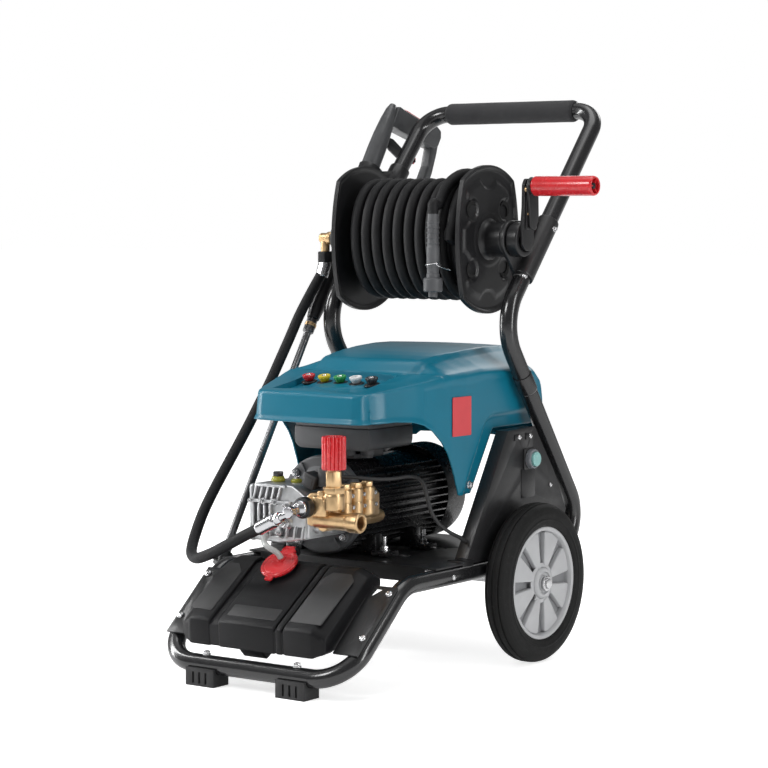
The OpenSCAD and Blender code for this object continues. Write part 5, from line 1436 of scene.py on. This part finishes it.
def make_gun():
    bm = bmesh.new()
    along_gun(bm, [(6.2, 560), (12.8, 560), (14, 562), (14, 580), (16, 670), (16, 742), (15, 770),
                   (12.6, 800), (9.4, 822), (5.5, 833), (0, 834)], steps=56)
    bridge = [(2, 790), (12, 795), (34, 800), (70, 811), (100, 821), (128, 829), (136, 838), (136, 856),
              (130, 866), (116, 867), (66, 848), (20, 836), (4, 833)]
    slab(bm, rounded(bridge, 5), -12.8, 12.8, GUN_SIDE, 4.5, 4)
    handle = [(114, 864), (128, 867), (136, 860), (145, 826), (151, 792), (152, 742), (146, 714),
              (132, 690), (112, 672), (90, 661), (48, 650), (10, 642), (10, 656), (50, 664), (84, 674),
              (104, 687), (120, 706), (130, 724), (134, 746), (134, 796), (124, 832)]
    slab(bm, rounded(handle, 4), -8.8, 8.8, GUN_SIDE, 3.6, 4)
    block(bm, (-8, 14, 700), (8, 26, 716), 2.5, GUN)
    finish_mesh("gun_shell", bm, GREY, "gun", ("gun_body",))
    bm = bmesh.new()
    trim = [(18, 826), (40, 835), (70, 846), (104, 858), (104, 864), (66, 851), (30, 842), (14, 836)]
    slab(bm, rounded(trim, 2.5), -9, 9, GUN_SIDE, 1.6, 3)
    finish_mesh("gun_red_trim", bm, RED, "gun")
    bm = bmesh.new()
    blade = [(4, 766), (4, 774), (30, 783), (62, 784), (98, 793), (107, 787), (99, 777), (62, 763),
             (30, 761)]
    slab(bm, rounded(blade, 3), -2.4, 2.4, GUN_SIDE, 1.4, 3)
    block(bm, (-2.4, 92, 780), (2.4, 104, 792), 1.5, GUN, 1)
    finish_mesh("gun_trigger_blade", bm, [PLASTIC, RED], "trigger", ("gun_trigger",))

    bm = bmesh.new()
    along_gun(bm, [(1.8, -34), (8.2, -34), (9, -32.6), (9, -18), (7.6, -16), (7.6, -4), (6, -2), (6, 383),
                   (9.2, 384), (9.2, 394), (0, 394)], steps=40)
    slab(bm, hexagon(9.6), 388, 407.6, GUN, 1.2)
    slab(bm, hexagon(9.4), -16, -4, GUN, 1)
    finish_mesh("lance_steel", bm, LANCE, "gun", ("lance_tube",))
    bm = bmesh.new()
    along_gun(bm, [(0, 408.4), (9.4, 408.4), (10.4, 410), (12.4, 426), (12.5, 533), (11, 535), (11, 560),
                   (0, 560)], steps=96,
              wobble=lambda a, h: 1 + (0.018 * math.cos(16 * a) if 436 < h < 526 else 0))
    finish_mesh("lance_foregrip", bm, PLASTIC, "gun", ("lance_grip",))
    bm = bmesh.new()            # brass collar between the lance and its grip
    along_gun(bm, [(9.3, 394), (9.9, 395), (9.9, 399), (9.3, 400)], steps=32)
    finish_mesh("lance_brass_ring", bm, BRASS, "gun")


# ---------------------------------------------------------------- switch and cable
CABLE_ROUTE = [(42, -290, 306), (56, -284, 306), (72, -268, 304), (88, -246, 301), (100, -224, 301),
               (112, -207, 303), (125, -199, 301), (136, -198, 291), (143, -199, 272), (150, -198, 251),
               (158, -189, 232), (164, -169, 218), (167, -149, 209), (168, -131, 200)]


def make_switch():
    y, z = 29, 315
    at = Matrix.Translation((180, y, z)) @ SIDEWAYS
    bm = bmesh.new()
    square = rounded([(-16.5, -16.5), (16.5, -16.5), (16.5, 16.5), (-16.5, 16.5)], 3)
    slab(bm, square, 0.2, 2.0, at, 0.5)
    lathe(bm, soft_profile([(11.95, 2), (14.6, 2), (15.5, 3.2), (15.5, 9.6), (14.2, 12.1), (12.6, 12.1),
                            (11.95, 11)], 1), (180, y, z), X, 72, 1,
          wobble=lambda a, h: 1 + (0.010 * math.cos(28 * a) if 3 < h < 9 else 0))
    lathe(bm, soft_profile([(8.1, -22), (11, -22), (11, 3), (8.1, 3)], 0.6), (180, y, z), X, 40)
    finish_mesh("switch_housing", bm, [PLATE_GREY, BEZEL], "chassis", ("switch_base",))
    bm = bmesh.new()
    lathe(bm, soft_profile([(0, -8), (7.8, -8), (7.8, 10.4), (11.7, 10.6), (11.7, 14.6), (10.4, 16.2),
                            (7, 16.4), (0, 15.8)], 0.9, 4), (180, y, z), X, 64)
    finish_mesh("start_button_cap", bm, BUTTON, "start_button", ("start_button",))
    bm = bmesh.new()
    sweep(bm, smooth_path(CABLE_ROUTE, 6), 2.9, 20)
    finish_mesh("motor_cable_sheath", bm, RUBBER, "chassis", ("motor_cable",))


# ---------------------------------------------------------------- the whole machine
make_camera()
make_supply_hose()
make_studio()
make_frame()
make_wheel(1)
make_wheel(-1)
make_motor()
make_pump()
make_hood()
make_tank()
make_suction_tube()
make_reel()
make_gun()
make_switch()
